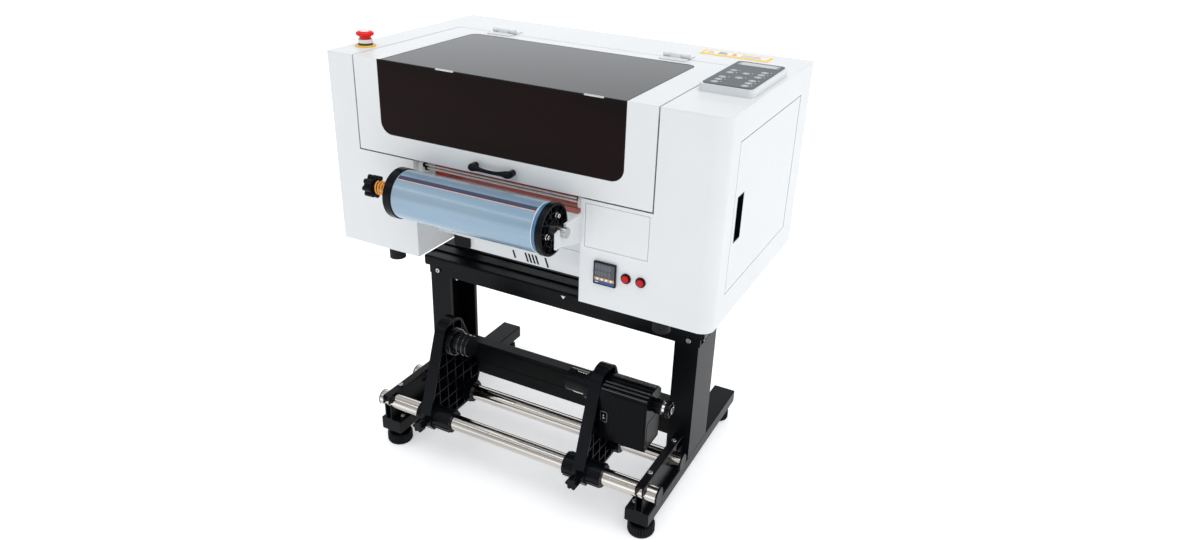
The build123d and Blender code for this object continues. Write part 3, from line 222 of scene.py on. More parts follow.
FILM = material(
    "wound_film", (0.2, 0.32, 0.44), (0.28, 0.385, 0.48), (0.24, 0.27), metallic=0.25, grain=300.0,
    stretch=(0.05, 1.0, 1.0), relief=0.0003, clouds=30.0, cloud_stretch=(0.12, 1.0, 1.0), coat=0.25,
)
CORE_BLUE = material(
    "core_blue", (0.03, 0.13, 0.27), (0.045, 0.17, 0.33), (0.24, 0.34), relief=0.006, coat=0.4,
)
DARK_FILM = material(
    "film_lead", (0.012, 0.018, 0.07), (0.02, 0.03, 0.1), (0.1, 0.2), relief=0.004, coat=0.6,
)
EDGE_FILM = material(
    "film_edge", (0.85, 0.36, 0.1), (0.75, 0.5, 0.42), (0.2, 0.3), clouds=60.0, relief=0.004,
)
# Painted reflection: the pale tone stands for the light band that the clear film reflects.
WEB = material(
    "clear_film_web", (0.5, 0.56, 0.64), (0.42, 0.5, 0.6), (0.08, 0.16), relief=0.002, alpha=0.42, coat=0.3,
)
ORANGE = material(
    "orange_lacquer", (0.9, 0.36, 0.006), (0.78, 0.28, 0.005), (0.2, 0.32), relief=0.006, coat=0.4,
)
INK = material("ink_bottle", (0.03, 0.03, 0.034), (0.045, 0.045, 0.05), (0.3, 0.42), relief=0.02)
PAPER = material("floor_paper", (0.82, 0.825, 0.83), (0.81, 0.815, 0.82), (0.8, 0.9), grain=60.0, glow=0.5)

NODE_FINISH = {
    WHITE: (
        "left_cover right_cover front_access_panel top_deck rear_panel recess_liner lid_shell side_door"
        " roll_arms lid_hinge_bases lid_hinge_knuckles"
    ),
    STEEL: "base_chassis linear_rail",
    BLACK: "foot_beams columns top_beam cross_beam risers tube_saddles clamp_bars",
    PLASTIC: (
        "door_pull uv_lamp capping_station temperature_controller button_bezels brake_knob holder_left"
        " holder_right clamp_knob_left clamp_knob_right idle_hub drive_hub motor_switch"
    ),
    HOUSING: "motor_housing",
    ALUMINIUM: "platen gantry_beam drive_pulley idler_pulley print_heads print_carriage",
    SHAFT_STEEL: "feed_roller supply_shaft",
    RUBBER: "pinch_rollers carriage_belt body_feet",
    INK: "ink_tanks",
    RED: "heater_button fan_button",
    AMBER: "amber_shield",
    SMOKED: "lid_window",
    MEMBRANE: "keypad_membrane",
    ORANGE: "brake_spring",
    TUBE_CHROME: "takeup_tubes",
}


def dress_nodes():
    """Give every CAD node that stays visible its finish."""
    for finish, names in NODE_FINISH.items():
        for name in names.split():
            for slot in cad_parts[name].material_slots:
                slot.material = finish


# --- mesh making -------------------------------------------------------------------------
class Shape:
    """A mesh built up from simple bodies, in millimetres."""

    def __init__(self):
        self.mesh = bmesh.new()

    def block(self, low, high):
        """A box between two corners."""
        centre = (Vector(low) + Vector(high)) / 2
        size = Vector(high) - Vector(low)
        place = Matrix.Translation(centre) @ Matrix.Diagonal((*size, 1.0))
        bmesh.ops.create_cube(self.mesh, size=1.0, matrix=place)

    def loop(self, axis, position, outline):
        """A closed row of points, given in the two other coordinates, at one place along the axis."""
        across = others(axis)
        made = []
        for point in outline:
            place = [position] * 3
            place[across[0]], place[across[1]] = point
            made.append(self.mesh.verts.new(place))
        return made

    def skin(self, loops):
        """Faces from each loop to the next."""
        for first, second in zip(loops, loops[1:]):
            for step in range(len(first)):
                after = (step + 1) % len(first)
                self.mesh.faces.new((first[step], first[after], second[after], second[step]))

    def lathe(self, axis, centre, profile, segments=64):
        """A turned body: profile holds (distance along, radius), centre the two other coordinates."""
        loops = [self.loop(axis, position, circle(centre, radius, segments)) for position, radius in profile]
        self.skin(loops)
        self.mesh.faces.new(loops[0])
        self.mesh.faces.new(loops[-1])

    def ring(self, axis, centre, profile, segments=64):
        """A turned body with a hole: the profile is a closed loop of (distance along, radius)."""
        loops = [self.loop(axis, position, circle(centre, radius, segments)) for position, radius in profile]
        self.skin(loops + loops[:1])

    def prism(self, axis, span, outline):
        """An outline extruded along the axis."""
        loops = [self.loop(axis, position, outline) for position in span]
        self.skin(loops)
        self.mesh.faces.new(loops[0])
        self.mesh.faces.new(loops[1])

    def slab(self, axis, span, low, high, radius):
        """A plate with rounded corners, low and high in the two other coordinates."""
        self.prism(axis, span, rounded_outline(low, high, radius))

    def rib(self, axis, span, start, end, half_width):
        """A straight rib between two points of the two other coordinates."""
        across = Vector((start[1] - end[1], end[0] - start[0])).normalized() * half_width
        outline = [(point[0] + across.x, point[1] + across.y) for point in (start, end)]
        outline += [(point[0] - across.x, point[1] - across.y) for point in (end, start)]
        self.prism(axis, span, outline)

    def band(self, axis, span, outer, inner):
        """The strip between two outlines with as many points, extruded along the axis."""
        pairs = ((span[0], outer), (span[1], outer), (span[1], inner), (span[0], inner))
        loops = [self.loop(axis, position, outline) for position, outline in pairs]
        self.skin(loops + loops[:1])

    def finish(self, name, body, finish, slot=None, edge=0.4, stands_for=()):
        """Turn the shape into a piece that rides on a body."""
        bmesh.ops.recalc_face_normals(self.mesh, faces=self.mesh.faces)
        bmesh.ops.scale(self.mesh, vec=(MM, MM, MM), verts=self.mesh.verts)
        data = bpy.data.meshes.new(name)
        self.mesh.to_mesh(data)
        self.mesh.free()
        for face in data.polygons:
            face.use_smooth = True
        data.set_sharp_from_angle(angle=SMOOTH_ANGLE)
        data.materials.append(finish)
        piece = new_object(name, data)
        if edge:
            bevel = piece.modifiers.new("edges", "BEVEL")
            bevel.width = edge * MM
            bevel.segments = 2
            bevel.limit_method = "ANGLE"
            bevel.angle_limit = EDGE_ANGLE
            bevel.harden_normals = True
        settle(piece, body, stands_for)


def plate(name, body, finish, slot, edge, *where):
    """A piece that is one slab; where holds the slab's axis, span, low and high corner and radius."""
    shape = Shape()
    shape.slab(*where)
    shape.finish(name, body, finish, slot, edge)


def settle(piece, body, stands_for=()):
    """Ride on a body and stand for CAD nodes."""
    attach(piece, body)
    if stands_for:
        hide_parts(*stands_for)


def corner_outline(low, high, radii, steps=6):
    """A rectangle whose upper and lower corners have their own radii; radii holds (upper, lower)."""
    upper, lower = radii
    corners = (
        (high[0] - upper, high[1] - upper, upper, 0), (low[0] + upper, high[1] - upper, upper, 90),
        (low[0] + lower, low[1] + lower, lower, 180), (high[0] - lower, low[1] + lower, lower, 270),
    )
    turns = [90 * step / steps for step in range(steps + 1)]
    return [around((x, y), radius, start + turn) for x, y, radius, start in corners for turn in turns]


def rounded_outline(low, high, radius):
    """A rectangle with four equal rounded corners."""
    return corner_outline(low, high, (radius, radius))


def circle(centre, radius, segments):
    """A circle's points."""
    angles = [2 * math.pi * step / segments for step in range(segments)]
    return [(centre[0] + radius * math.cos(angle), centre[1] + radius * math.sin(angle)) for angle in angles]


def wavy_outline(centre, radius, depth, waves, steps=8):
    """A circle whose edge swells and dips evenly."""
    points = []
    for step in range(waves * steps):
        angle = 2 * math.pi * step / (waves * steps)
        reach = radius - depth / 2 + depth / 2 * math.cos(waves * angle)
        points.append((centre[0] + reach * math.cos(angle), centre[1] + reach * math.sin(angle)))
    return points


def tube_profile(span, inner, outer):
    """The profile of a plain tube for Shape.ring."""
    return (span[0], inner), (span[0], outer), (span[1], outer), (span[1], inner)


def around(centre, radius, degrees):
    """A point on a circle."""
    angle = math.radians(degrees)
    return centre[0] + radius * math.cos(angle), centre[1] + radius * math.sin(angle)


def socket_screw(shape, axis, at, radius, height, outward=1):
    """A round screw head with a hexagonal socket; at is the point on its seat."""
    seat = at[AXES[axis]]
    centre = tuple(at[n] for n in others(axis))
    top = seat + outward * height
    profile = [(seat, radius), (top - outward * 0.15 * height, radius), (top, radius * 0.88)]
    profile += [(top, radius * 0.5), (seat + outward * 0.4 * height, radius * 0.5), (seat, radius * 0.5)]
    shape.ring(axis, centre, profile, 24)
    floor = seat + outward * 0.42 * height
    shape.lathe(axis, centre, ((seat, radius * 0.52), (floor, radius * 0.52)), segments=6)


def wire(name, points, radii, body, finish):
    """A round bar along a smooth curve, with its own radius at each point."""
    curve = bpy.data.curves.new(name, "CURVE")
    curve.dimensions = "3D"
    curve.bevel_depth, curve.bevel_resolution = MM, 6
    curve.use_fill_caps = True
    spline = curve.splines.new("NURBS")
    spline.points.add(len(points) - 1)
    for target, point, radius in zip(spline.points, points, radii):
        target.co = (*(Vector(point) * MM), 1.0)
        target.radius = radius
    spline.order_u = 3
    spline.use_endpoint_u = True
    spline.resolution_u = 10
    curve.materials.append(finish)
    piece = new_object(name, curve)
    settle(piece, body)
    return piece


# --- camera, floor and light -------------------------------------------------------------
CAMERA_PLACE = (0.9037, -1.6015, 1.3762)
CAMERA_AZIMUTH = math.radians(26.35)
CAMERA_ELEVATION = math.radians(25.99)
CAMERA_ROLL = math.radians(2.224)
CAMERA_LENS = 26.303


def make_camera():
    """The camera stands in front of the machine, to its right and above it."""
    flat = math.cos(CAMERA_ELEVATION)
    rise = math.sin(CAMERA_ELEVATION)
    back = Vector((math.sin(CAMERA_AZIMUTH) * flat, -math.cos(CAMERA_AZIMUTH) * flat, rise))
    level = (-back).cross(Vector((0, 0, 1))).normalized()
    upright = level.cross(-back)
    right = math.cos(CAMERA_ROLL) * level + math.sin(CAMERA_ROLL) * upright
    up = -math.sin(CAMERA_ROLL) * level + math.cos(CAMERA_ROLL) * upright
    turn = Matrix((right, up, back)).transposed().to_4x4()
    data = bpy.data.cameras.new("camera")
    data.lens = CAMERA_LENS
    data.sensor_width = 36.0
    camera = new_object("camera", data)
    camera.matrix_world = Matrix.Translation(CAMERA_PLACE) @ turn
    bpy.context.scene.camera = camera


def area_light(name, place, target, size, power, colour=(1.0, 1.0, 1.0)):
    """A rectangular soft light that faces a point."""
    data = bpy.data.lights.new(name, "AREA")
    data.shape = "RECTANGLE"
    data.size, data.size_y = size
    data.energy = power
    data.color = colour
    lamp = new_object(name, data)
    lamp.location = place
    lamp.rotation_euler = (Vector(target) - Vector(place)).to_track_quat("-Z", "Y").to_euler()


FLOOR_HALF = 200.0
SKY_STRENGTH = 0.63
SUN_STRENGTH = 1.68


def make_studio():
    """A pale floor, an even white sky, a soft sun from above, two soft boxes and a narrow strip light."""
    half = FLOOR_HALF
    data = bpy.data.meshes.new("floor")
    corners = [(-half, -half, 0), (half, -half, 0), (half, half, 0), (-half, half, 0)]
    data.from_pydata(corners, [], [(0, 1, 2, 3)])
    data.materials.append(PAPER)
    new_object("floor", data)
    world = bpy.data.worlds.new("studio")
    world.use_nodes = True
    sky = world.node_tree.nodes["Background"]
    sky.inputs["Color"].default_value = (0.97, 0.985, 1.0, 1.0)
    sky.inputs["Strength"].default_value = SKY_STRENGTH
    bpy.context.scene.world = world
    sun = bpy.data.lights.new("overhead", "SUN")
    sun.energy = SUN_STRENGTH
    sun.angle = math.radians(75)
    new_object("overhead", sun).rotation_euler = (math.radians(6), math.radians(10), 0)
    area_light("back_box", (-1.9, 3.2, 1.75), (0.0, 0.0, 0.95), (4.2, 1.1), 14.0, (0.9, 0.95, 1.0))
    area_light("side_box", (2.6, 0.3, 1.3), (0.4, 0.0, 0.7), (1.6, 1.6), 3.0)
    area_light("front_strip", (-1.7, -2.2, 2.5), (0.1, -0.1, 0.4), (2.6, 0.14), 3.5)
    bpy.context.scene.view_settings.view_transform = "Standard"


# --- lid ---------------------------------------------------------------------------------
PANE_X = (-316.0, 254.0)
FRONT_PANE_BOTTOM = 806.0
TOP_PANE_LEFT = -308.0
TOP_PANE_REAR = 131.0
SEAL_WIDTH = 1.5
SEAL_LIFT = 0.15
WINDOW_CLIPS = ((-168, 43), (166, 41))  # left end and width


def make_lid_details():
    """The bowed handle, the window's thin seal and the two bright clips on its front edge."""
    low, high = box_of("lid_handle")
    face_y, middle_z = high[1], (low[2] + high[2]) / 2
    left, right = low[0] + 6, high[0] - 6
    bar_y = low[1] + 5.0
    half_bow = (
        (0, face_y, 0), (-0.5, face_y - 8, 0), (-1, bar_y + 2, 0), (5, bar_y, 0.5), (14, bar_y + 0.5, 0),
        (26, bar_y + 0.2, -1.5),
    )
    points = [(left + x, y, middle_z + z) for x, y, z in half_bow]
    points += [((left + right) / 2, bar_y, middle_z - 2)]
    points += [(right - x, y, middle_z + z) for x, y, z in reversed(half_bow)]
    radii = (6.6, 7.0, 7.6, 7.8, 5.6, 4.0)
    handle = wire("handle_bow", points, (*radii, 3.7, *reversed(radii)), "lid", PLASTIC)
    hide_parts("lid_handle")
    low, high = box_of("lid_window")
    top, front = high[2], low[1]
    seal = Shape()
    right = PANE_X[1]
    for axis, span, start, end, (upper, lower) in (
        ("y", (front - SEAL_LIFT, front + 0.1), (PANE_X[0], FRONT_PANE_BOTTOM), (right, top), (1.5, 27.0)),
        ("z", (top - 0.1, top + SEAL_LIFT), (TOP_PANE_LEFT, front), (right, TOP_PANE_REAR), (20.0, 1.5)),
    ):
        inside_low = [value + SEAL_WIDTH for value in start]
        inside_high = [value - SEAL_WIDTH for value in end]
        inner = corner_outline(inside_low, inside_high, (upper - 1.4, lower - 1.4))
        seal.band(axis, span, corner_outline(start, end, (upper, lower)), inner)
    seal.finish("window_seal", "lid", RUBBER, "rubber", edge=0)
    for number, (x, width) in enumerate(WINDOW_CLIPS):
        clip = Shape()
        clip.block((x, front - 0.7, top - 2.2), (x + width, front + 0.1, top + 0.5))
        clip.block((x, front - 0.7, top - 0.1), (x + width, front + 3.0, top + 0.5))
        clip.finish(f"window_clip_{number}", "lid", STEEL, "zinc_steel")


# --- top of the cabinet ------------------------------------------------------------------
LEFT_KEYS = (17, 39, 61, 104, 126)  # distances from the membrane's front edge
MIDDLE_KEYS = (71, 112)
RIGHT_KEYS = (17, 39, 61, 94, 116, 138)
LABEL_LOW = (210.0, 248.0)
LABEL_HIGH = (369.0, 299.0)
LABEL_LIFT = 2.5  # the label's face above the cover


def make_keypad():
    """Display strip and printed round keys on the membrane."""
    low, high = box_of("keypad_membrane")
    top = high[2]
    corners = (low[0] + 12, high[1] - 34), (high[0] - 12, high[1] - 12)
    plate("keypad_display", "cabinet", DISPLAY, "membrane_grey", 0.2, "z", (top - 0.2, top + 0.5), *corners, 3)
    border = Shape()
    for side in (low[0] + 8, high[0] - 10.5):
        border.block((side, high[1] - 37, top - 0.2), (side + 2.5, high[1] - 9, top + 0.35))
    for side in (high[1] - 38, high[1] - 10.5):
        border.block((low[0] + 8, side, top - 0.2), (high[0] - 8, side + 2.5, top + 0.35))
    border.finish("keypad_display_frame", "cabinet", GLOSS_BLACK, "membrane_grey", edge=0.15)
    middle = (low[0] + high[0]) / 2
    columns = ((low[0] + 20, LEFT_KEYS), (middle, MIDDLE_KEYS), (high[0] - 20, RIGHT_KEYS))
    keys, lamps = Shape(), Shape()
    for x, places in columns:
        for offset in places:
            y = low[1] + offset
            base, rim = top - 0.2, top + 0.55
            keys.ring("z", (x, y), ((base, 7.6), (rim, 7.2), (rim, 6.0), (base, 5.6)), 40)
            keys.lathe("z", (x, y), ((base, 4.4), (top + 0.35, 4.3), (top + 0.5, 3.4), (rim, 2.0)), 28)
            lamps.lathe("z", (x + 11, y + 6), ((base, 1.3), (top + 0.3, 1.2), (top + 0.45, 0.7)), 16)
    keys.finish("keypad_keys", "cabinet", KEY_PRINT, "membrane_grey", edge=0)
    lamps.finish("keypad_lamps", "cabinet", LABEL_WHITE, "membrane_grey", edge=0)


def make_deck_label():
    """A plain yellow plate with a white field and four small marks."""
    top = box_of("left_cover")[1][2] + LABEL_LIFT
    low, high = LABEL_LOW, LABEL_HIGH
    plate("deck_label", "cabinet", YELLOW, None, 0.15, "z", (top - 0.1, top + 0.4), low, high, 4)
    corners = (low[0] + 8, low[1] + 15), (high[0] - 8, high[1] - 7)
    plate("deck_label_field", "cabinet", LABEL_WHITE, None, 0.1, "z", (top + 0.3, top + 0.65), *corners, 2)
    for number, (finish, x, width) in enumerate(
        ((GLOSS_BLACK, 12, 16), (BLUE_PRINT, 38, 22), (RED, 70, 12), (GLOSS_BLACK, 92, 46))
    ):
        mark = Shape()
        left = low[0] + x
        for row in range(2):
            y = low[1] + 20 + 11 * row
            mark.slab("z", (top + 0.6, top + 0.85), (left, y), (left + width - 4 * row, y + 6), 1.5)
        mark.finish(f"deck_label_mark_{number}", "cabinet", finish, edge=0)


STEM_RADIUS = 8.0
STEM_BORE = 8.06


def make_estop():
    """Emergency stop: yellow plate, black base, pale collar and a red mushroom that sinks into the collar."""
    centre = middle_of("estop_base", "z")
    deck = box_of("estop_base")[0][2]
    head_low, head_high = box_of("estop_button")
    bore = STEM_BORE
    flat = Shape()
    profile = ((deck, bore), (deck, 22.4), (deck + 1.8, 22.4), (deck + 3, 21.2), (deck + 3, bore))
    flat.ring("z", centre, profile, 72)
    flat.finish("estop_plate", "cabinet", YELLOW, edge=0.2, stands_for=("estop_base",))
    base = Shape()
    profile = ((deck + 3, bore), (deck + 3, 16.6), (deck + 5.6, 16.2), (deck + 7, 15.0), (deck + 7, bore))
    base.ring("z", centre, profile, 72)
    base.finish("estop_neck", "cabinet", GLOSS_BLACK, "black_plastic", edge=0.2)
    collar = Shape()
    profile = [(deck + 7, 13.2), (deck + 7, 15.2), (deck + 7.8, 16.0)]
    profile += [(deck + 13.6, 16.0), (deck + 15, 15.2), (deck + 15, 13.2)]
    collar.ring("z", centre, profile, 72)
    collar.finish("estop_collar", "cabinet", LABEL_WHITE, edge=0.15)
    top = head_high[2]
    head = Shape()
    profile = [(head_low[2], STEM_RADIUS), (deck + 13.4, STEM_RADIUS), (deck + 13.4, 12.6), (deck + 18, 12.4)]
    profile += [(top - 10.6, 12.6), (top - 9.4, 17.6), (top - 7.6, 19.3), (top - 5.4, 19.5), (top - 3.0, 18.6)]
    profile += [(top - 1.0, 16.0), (top - 0.2, 13.2), (top, 12.0), (top - 0.5, 10.8), (top - 0.9, 6.0)]
    head.lathe("z", centre, profile, 72)
    stands_for = ("estop_button",)
    head.finish("estop_mushroom", "estop_button", RED_BRIGHT, "red_plastic", edge=0, stands_for=stands_for)
    # Painted highlight: a white disc on the mushroom's top stands for the light ring that shines there.
    top_highlight_disc = Shape()
    top_highlight_disc.lathe("z", centre, ((top - 1.2, 9.8), (top - 0.4, 9.6), (top - 0.3, 7.0), (top - 0.3, 1.0)), 48)
    top_highlight_disc.finish("estop_painted_highlight", "estop_button", LABEL_WHITE, "red_plastic", edge=0)


# --- control panel -----------------------------------------------------------------------
SEGMENTS = (
    ((0, 1.0), (1, 1.0)), ((0, 0.5), (1, 0.5)), ((0, 0.0), (1, 0.0)), ((0, 0.5), (0, 1.0)),
    ((1, 0.5), (1, 1.0)), ((0, 0.0), (0, 0.5)), ((1, 0.0), (1, 0.5)),
)


def add_digit(shape, x, z, width, height, y):
    """One unlit seven-bar figure, made of flat bars just in front of y."""
    half = width * 0.11
    for (x0, z0), (x1, z1) in SEGMENTS:
        gap_x = half * 1.3 * (x0 != x1)
        gap_z = half * 1.3 * (z0 != z1)
        shape.block(
            (x + x0 * width - half + gap_x * 2, y - 0.25, z + z0 * height - half + gap_z * 2),
            (x + x1 * width + half - gap_x * 2, y, z + z1 * height + half - gap_z * 2),
        )


def make_controller_face():
    """Screen with two rows of figures, a tan key strip and a blue foot strip."""
    (left, front, bottom), (right, _, top) = box_of("temperature_controller")
    face = (front - 0.5, front + 0.1)
    for name, finish, base, end, radius in (
        ("controller_screen", SCREEN, bottom + 16, top - 2, 1.5),
        ("controller_keys", TAN_PRINT, bottom + 8.5, bottom + 15.6, 0.8),
        ("controller_foot", BLUE_PRINT, bottom + 2, bottom + 8.1, 0.8),
    ):
        low, high = (left + 2, base), (right - 2, end)
        plate(name, "cabinet", finish, "black_plastic", 0.15, "y", face, low, high, radius)
    figures = Shape()
    for height, base in ((9.0, top - 15), (8.0, top - 28)):
        for place in range(4):
            add_digit(figures, left + 9.5 + 7.6 * place, base, 4.6, height, front - 0.5)
        figures.block((left + 4.5, front - 0.7, base + 1), (left + 6.0, front - 0.5, base + height - 1))
    figures.finish("controller_figures", "cabinet", SEGMENT, "black_plastic", edge=0)
    keys = Shape()
    for place in range(4):
        x = left + 9 + 10 * place
        keys.slab("y", (front - 1.1, front - 0.4), (x - 2.6, bottom + 10), (x + 2.6, bottom + 14), 1.4)
    keys.block((left + 4, front - 0.7, bottom + 4.4), (left + 11, front - 0.45, bottom + 5.8))
    keys.finish("controller_key_caps", "cabinet", LABEL_WHITE, "black_plastic", edge=0.1)
    bezel = Shape()
    for x in (left - 0.2, right - 1.6):
        bezel.block((x, front - 0.9, bottom), (x + 1.8, front + 1, top))
    for z in (bottom - 0.2, top - 1.6):
        bezel.block((left, front - 0.9, z), (right, front + 1, z + 1.8))
    bezel.finish("controller_bezel", "cabinet", PLASTIC, "black_plastic", edge=0.35)


# --- supply roll -------------------------------------------------------------------------
CORE_BORE = 38.0
CORE_OVERHANG = 9.0  # bare core beyond the film, at the roll's right end
SHAFT_GAP = 0.05
FLANGE_RADIUS = 53.0
FLANGE_HUB = 22.0
SPOKES = 10


def make_supply_roll():
    """Wound film, its core and loose end, the two flanges, and the collar and nut on the shaft."""
    centre = middle_of("supply_shaft", "x")
    shaft_low, shaft_high = box_of("supply_shaft")
    bore = (shaft_high[2] - shaft_low[2]) / 2 + SHAFT_GAP
    low, high = box_of("film_roll")
    radius = (high[2] - low[2]) / 2
    core_end = high[0]
    film_end = core_end - CORE_OVERHANG
    film = Shape()
    profile = [(low[0], CORE_BORE), (low[0], radius - 0.6), (low[0] + 0.8, radius)]
    profile += [(film_end - 0.8, radius), (film_end, radius - 0.6), (film_end, CORE_BORE)]
    film.ring("x", centre, profile, 128)
    film.finish("film_winding", "supply_roll", FILM, "film", edge=0, stands_for=("film_roll",))
    core = Shape()
    core.ring("x", centre, tube_profile((film_end + 1, core_end), CORE_BORE, radius - 1.6), 128)
    core.finish("film_core_end", "supply_roll", CORE_BLUE, "film", edge=0.4)
    band = Shape()
    band.ring("x", centre, tube_profile((film_end, film_end + 1.2), CORE_BORE + 4, radius - 0.2), 128)
    band.finish("film_edge_ring", "supply_roll", LABEL_WHITE, "film", edge=0.2)
    for name, finish, first, last, lift in (
        ("film_lead_band", DARK_FILM, 112, 123, 0.25),
        ("film_lead_edge", EDGE_FILM, 123, 124.6, 0.35),
    ):
        strip = Shape()
        turns = [(last - first) * n / 8 for n in range(9)]
        outline = [around(centre, radius - 0.3, first + turn) for turn in turns]
        outline += [around(centre, radius + lift, last - turn) for turn in turns]
        strip.prism("x", (low[0] + 3, film_end - 2), outline)
        strip.finish(name, "supply_roll", finish, "film", edge=0)
    left_face, right_face = (corner[0] for corner in box_of("supply_flanges"))
    make_flange("left_flange", -1, (low[0], left_face), centre, bore)
    make_flange("right_flange", 1, (core_end, right_face), centre, bore)
    collar = Shape()
    profile = [(left_face - 8.6, bore), (left_face - 8.6, 15.5), (left_face - 7.6, 16.5)]
    profile += [(left_face - 1.0, 16.5), (left_face, 15.5), (left_face, bore)]
    collar.ring("x", centre, profile, 48)
    collar.finish("shaft_stop_collar", "supply_roll", PLASTIC, "black_plastic", edge=0.2)
    knob_face = box_of("brake_knob")[0][0]
    nut = Shape()
    nut.prism("x", (knob_face - 4.4, knob_face - 0.3), wavy_outline(centre, 14.0, 0.0, 6, 1))
    nut.lathe("x", centre, ((knob_face - 6.0, 6.0), (knob_face - 5.4, 8.6), (knob_face - 4.2, 9.6)), 40)
    nut.finish("shaft_lock_nut", "supply_roll", PLASTIC, "black_plastic", edge=0.5)


def make_flange(name, side, faces, centre, bore):
    """A moulded flange: rim, thin web, hub and spokes on its outer face, and the plug in the core."""
    inner_face, outer_face = faces
    web_face = inner_face + side * 5.0
    rim = FLANGE_RADIUS
    body = Shape()
    plug_end = inner_face - side * 22.0
    profile = [(inner_face, 36.0), (inner_face, rim - 1.2), (inner_face + side * 1.4, rim)]
    profile += [(outer_face - side * 1.4, rim), (outer_face, rim - 1.2), (outer_face, rim - 5.0)]
    profile += [(web_face, rim - 6.0), (web_face, FLANGE_HUB + 1.0), (outer_face - side * 1.0, FLANGE_HUB)]
    profile += [(outer_face, 20.5), (outer_face, bore), (plug_end, bore), (plug_end, CORE_BORE - 1.5)]
    profile += [(inner_face - side * 20.5, CORE_BORE - 0.1), (inner_face, CORE_BORE - 0.1)]
    body.ring("x", centre, profile, 96)
    body.finish(name, "supply_roll", PLASTIC, "black_plastic", edge=0, stands_for=("supply_flanges",))
    ribs = Shape()
    x_range = sorted((web_face - side * 0.5, outer_face - side * 1.2))
    for spoke in range(SPOKES):
        turn = 360 / SPOKES * spoke
        root = around(centre, FLANGE_HUB, turn)
        for lean in (-7, 7):
            ribs.rib("x", x_range, root, around(centre, rim - 4.6, turn + lean), 0.9)
    ribs.ring("x", centre, tube_profile(x_range, 33.1, 34.9), 80)
    ribs.finish(f"{name}_ribs", "supply_roll", PLASTIC, "black_plastic", edge=0.25)
    bolts = Shape()
    for place in range(3):
        y, z = around(centre, 28.0, 70 + 120 * place)
        bolts.lathe("x", (y, z), ((web_face, 6.0), (outer_face, 6.0), (outer_face + side * 0.8, 5.0)), 6)
        socket_screw(bolts, "x", (outer_face + side * 0.6, y, z), 4.6, 5.0, side)
    bolts.finish(f"{name}_bolts", "supply_roll", CHROME, "zinc_steel", edge=0.25)


def make_web():
    """The film's free web: off the top of the roll, down into the nip and over the bed."""
    roll_low, roll_high = box_of("film_roll")
    bed_low, bed_high = box_of("platen")
    centre = middle_of("supply_shaft", "x")
    radius = (roll_high[2] - roll_low[2]) / 2 + 0.3
    nip = (middle_of("feed_roller", "x")[0], box_of("feed_roller")[1][2] + 0.12)
    reach = Vector((nip[0] - centre[0], nip[1] - centre[1]))
    leave = math.degrees(math.atan2(reach.y, reach.x) + math.acos(radius / reach.length))
    route = [around(centre, radius, leave + 24 - 4 * n) for n in range(7)]
    route += [nip, (bed_low[1] + 4, bed_high[2] + 0.2), (bed_high[1] - 24, bed_high[2] + 0.2)]
    left, right = roll_low[0] + 2, roll_high[0] - 11
    data = bpy.data.meshes.new("film_web")
    corners = [(x * MM, y * MM, z * MM) for y, z in route for x in (left, right)]
    faces = [(2 * n, 2 * n + 1, 2 * n + 3, 2 * n + 2) for n in range(len(route) - 1)]
    data.from_pydata(corners, [], faces)
    data.materials.append(WEB)
    for face in data.polygons:
        face.use_smooth = True
    web = new_object("film_web", data)
    settle(web, "cabinet")


GUIDE_BARS = ((-186.0, 748.0, 1.8), (-180.0, 739.0, 2.2))  # y, z and radius
FOLD_Y = -133.0
VENTS = ((-74, 9), (-41, 11), (-32, 11), (-23, 11), (-14, 11), (11, 12))  # x and half height
VENT_LEAN = 0.36
VENT_HALF_WIDTH = 2.3


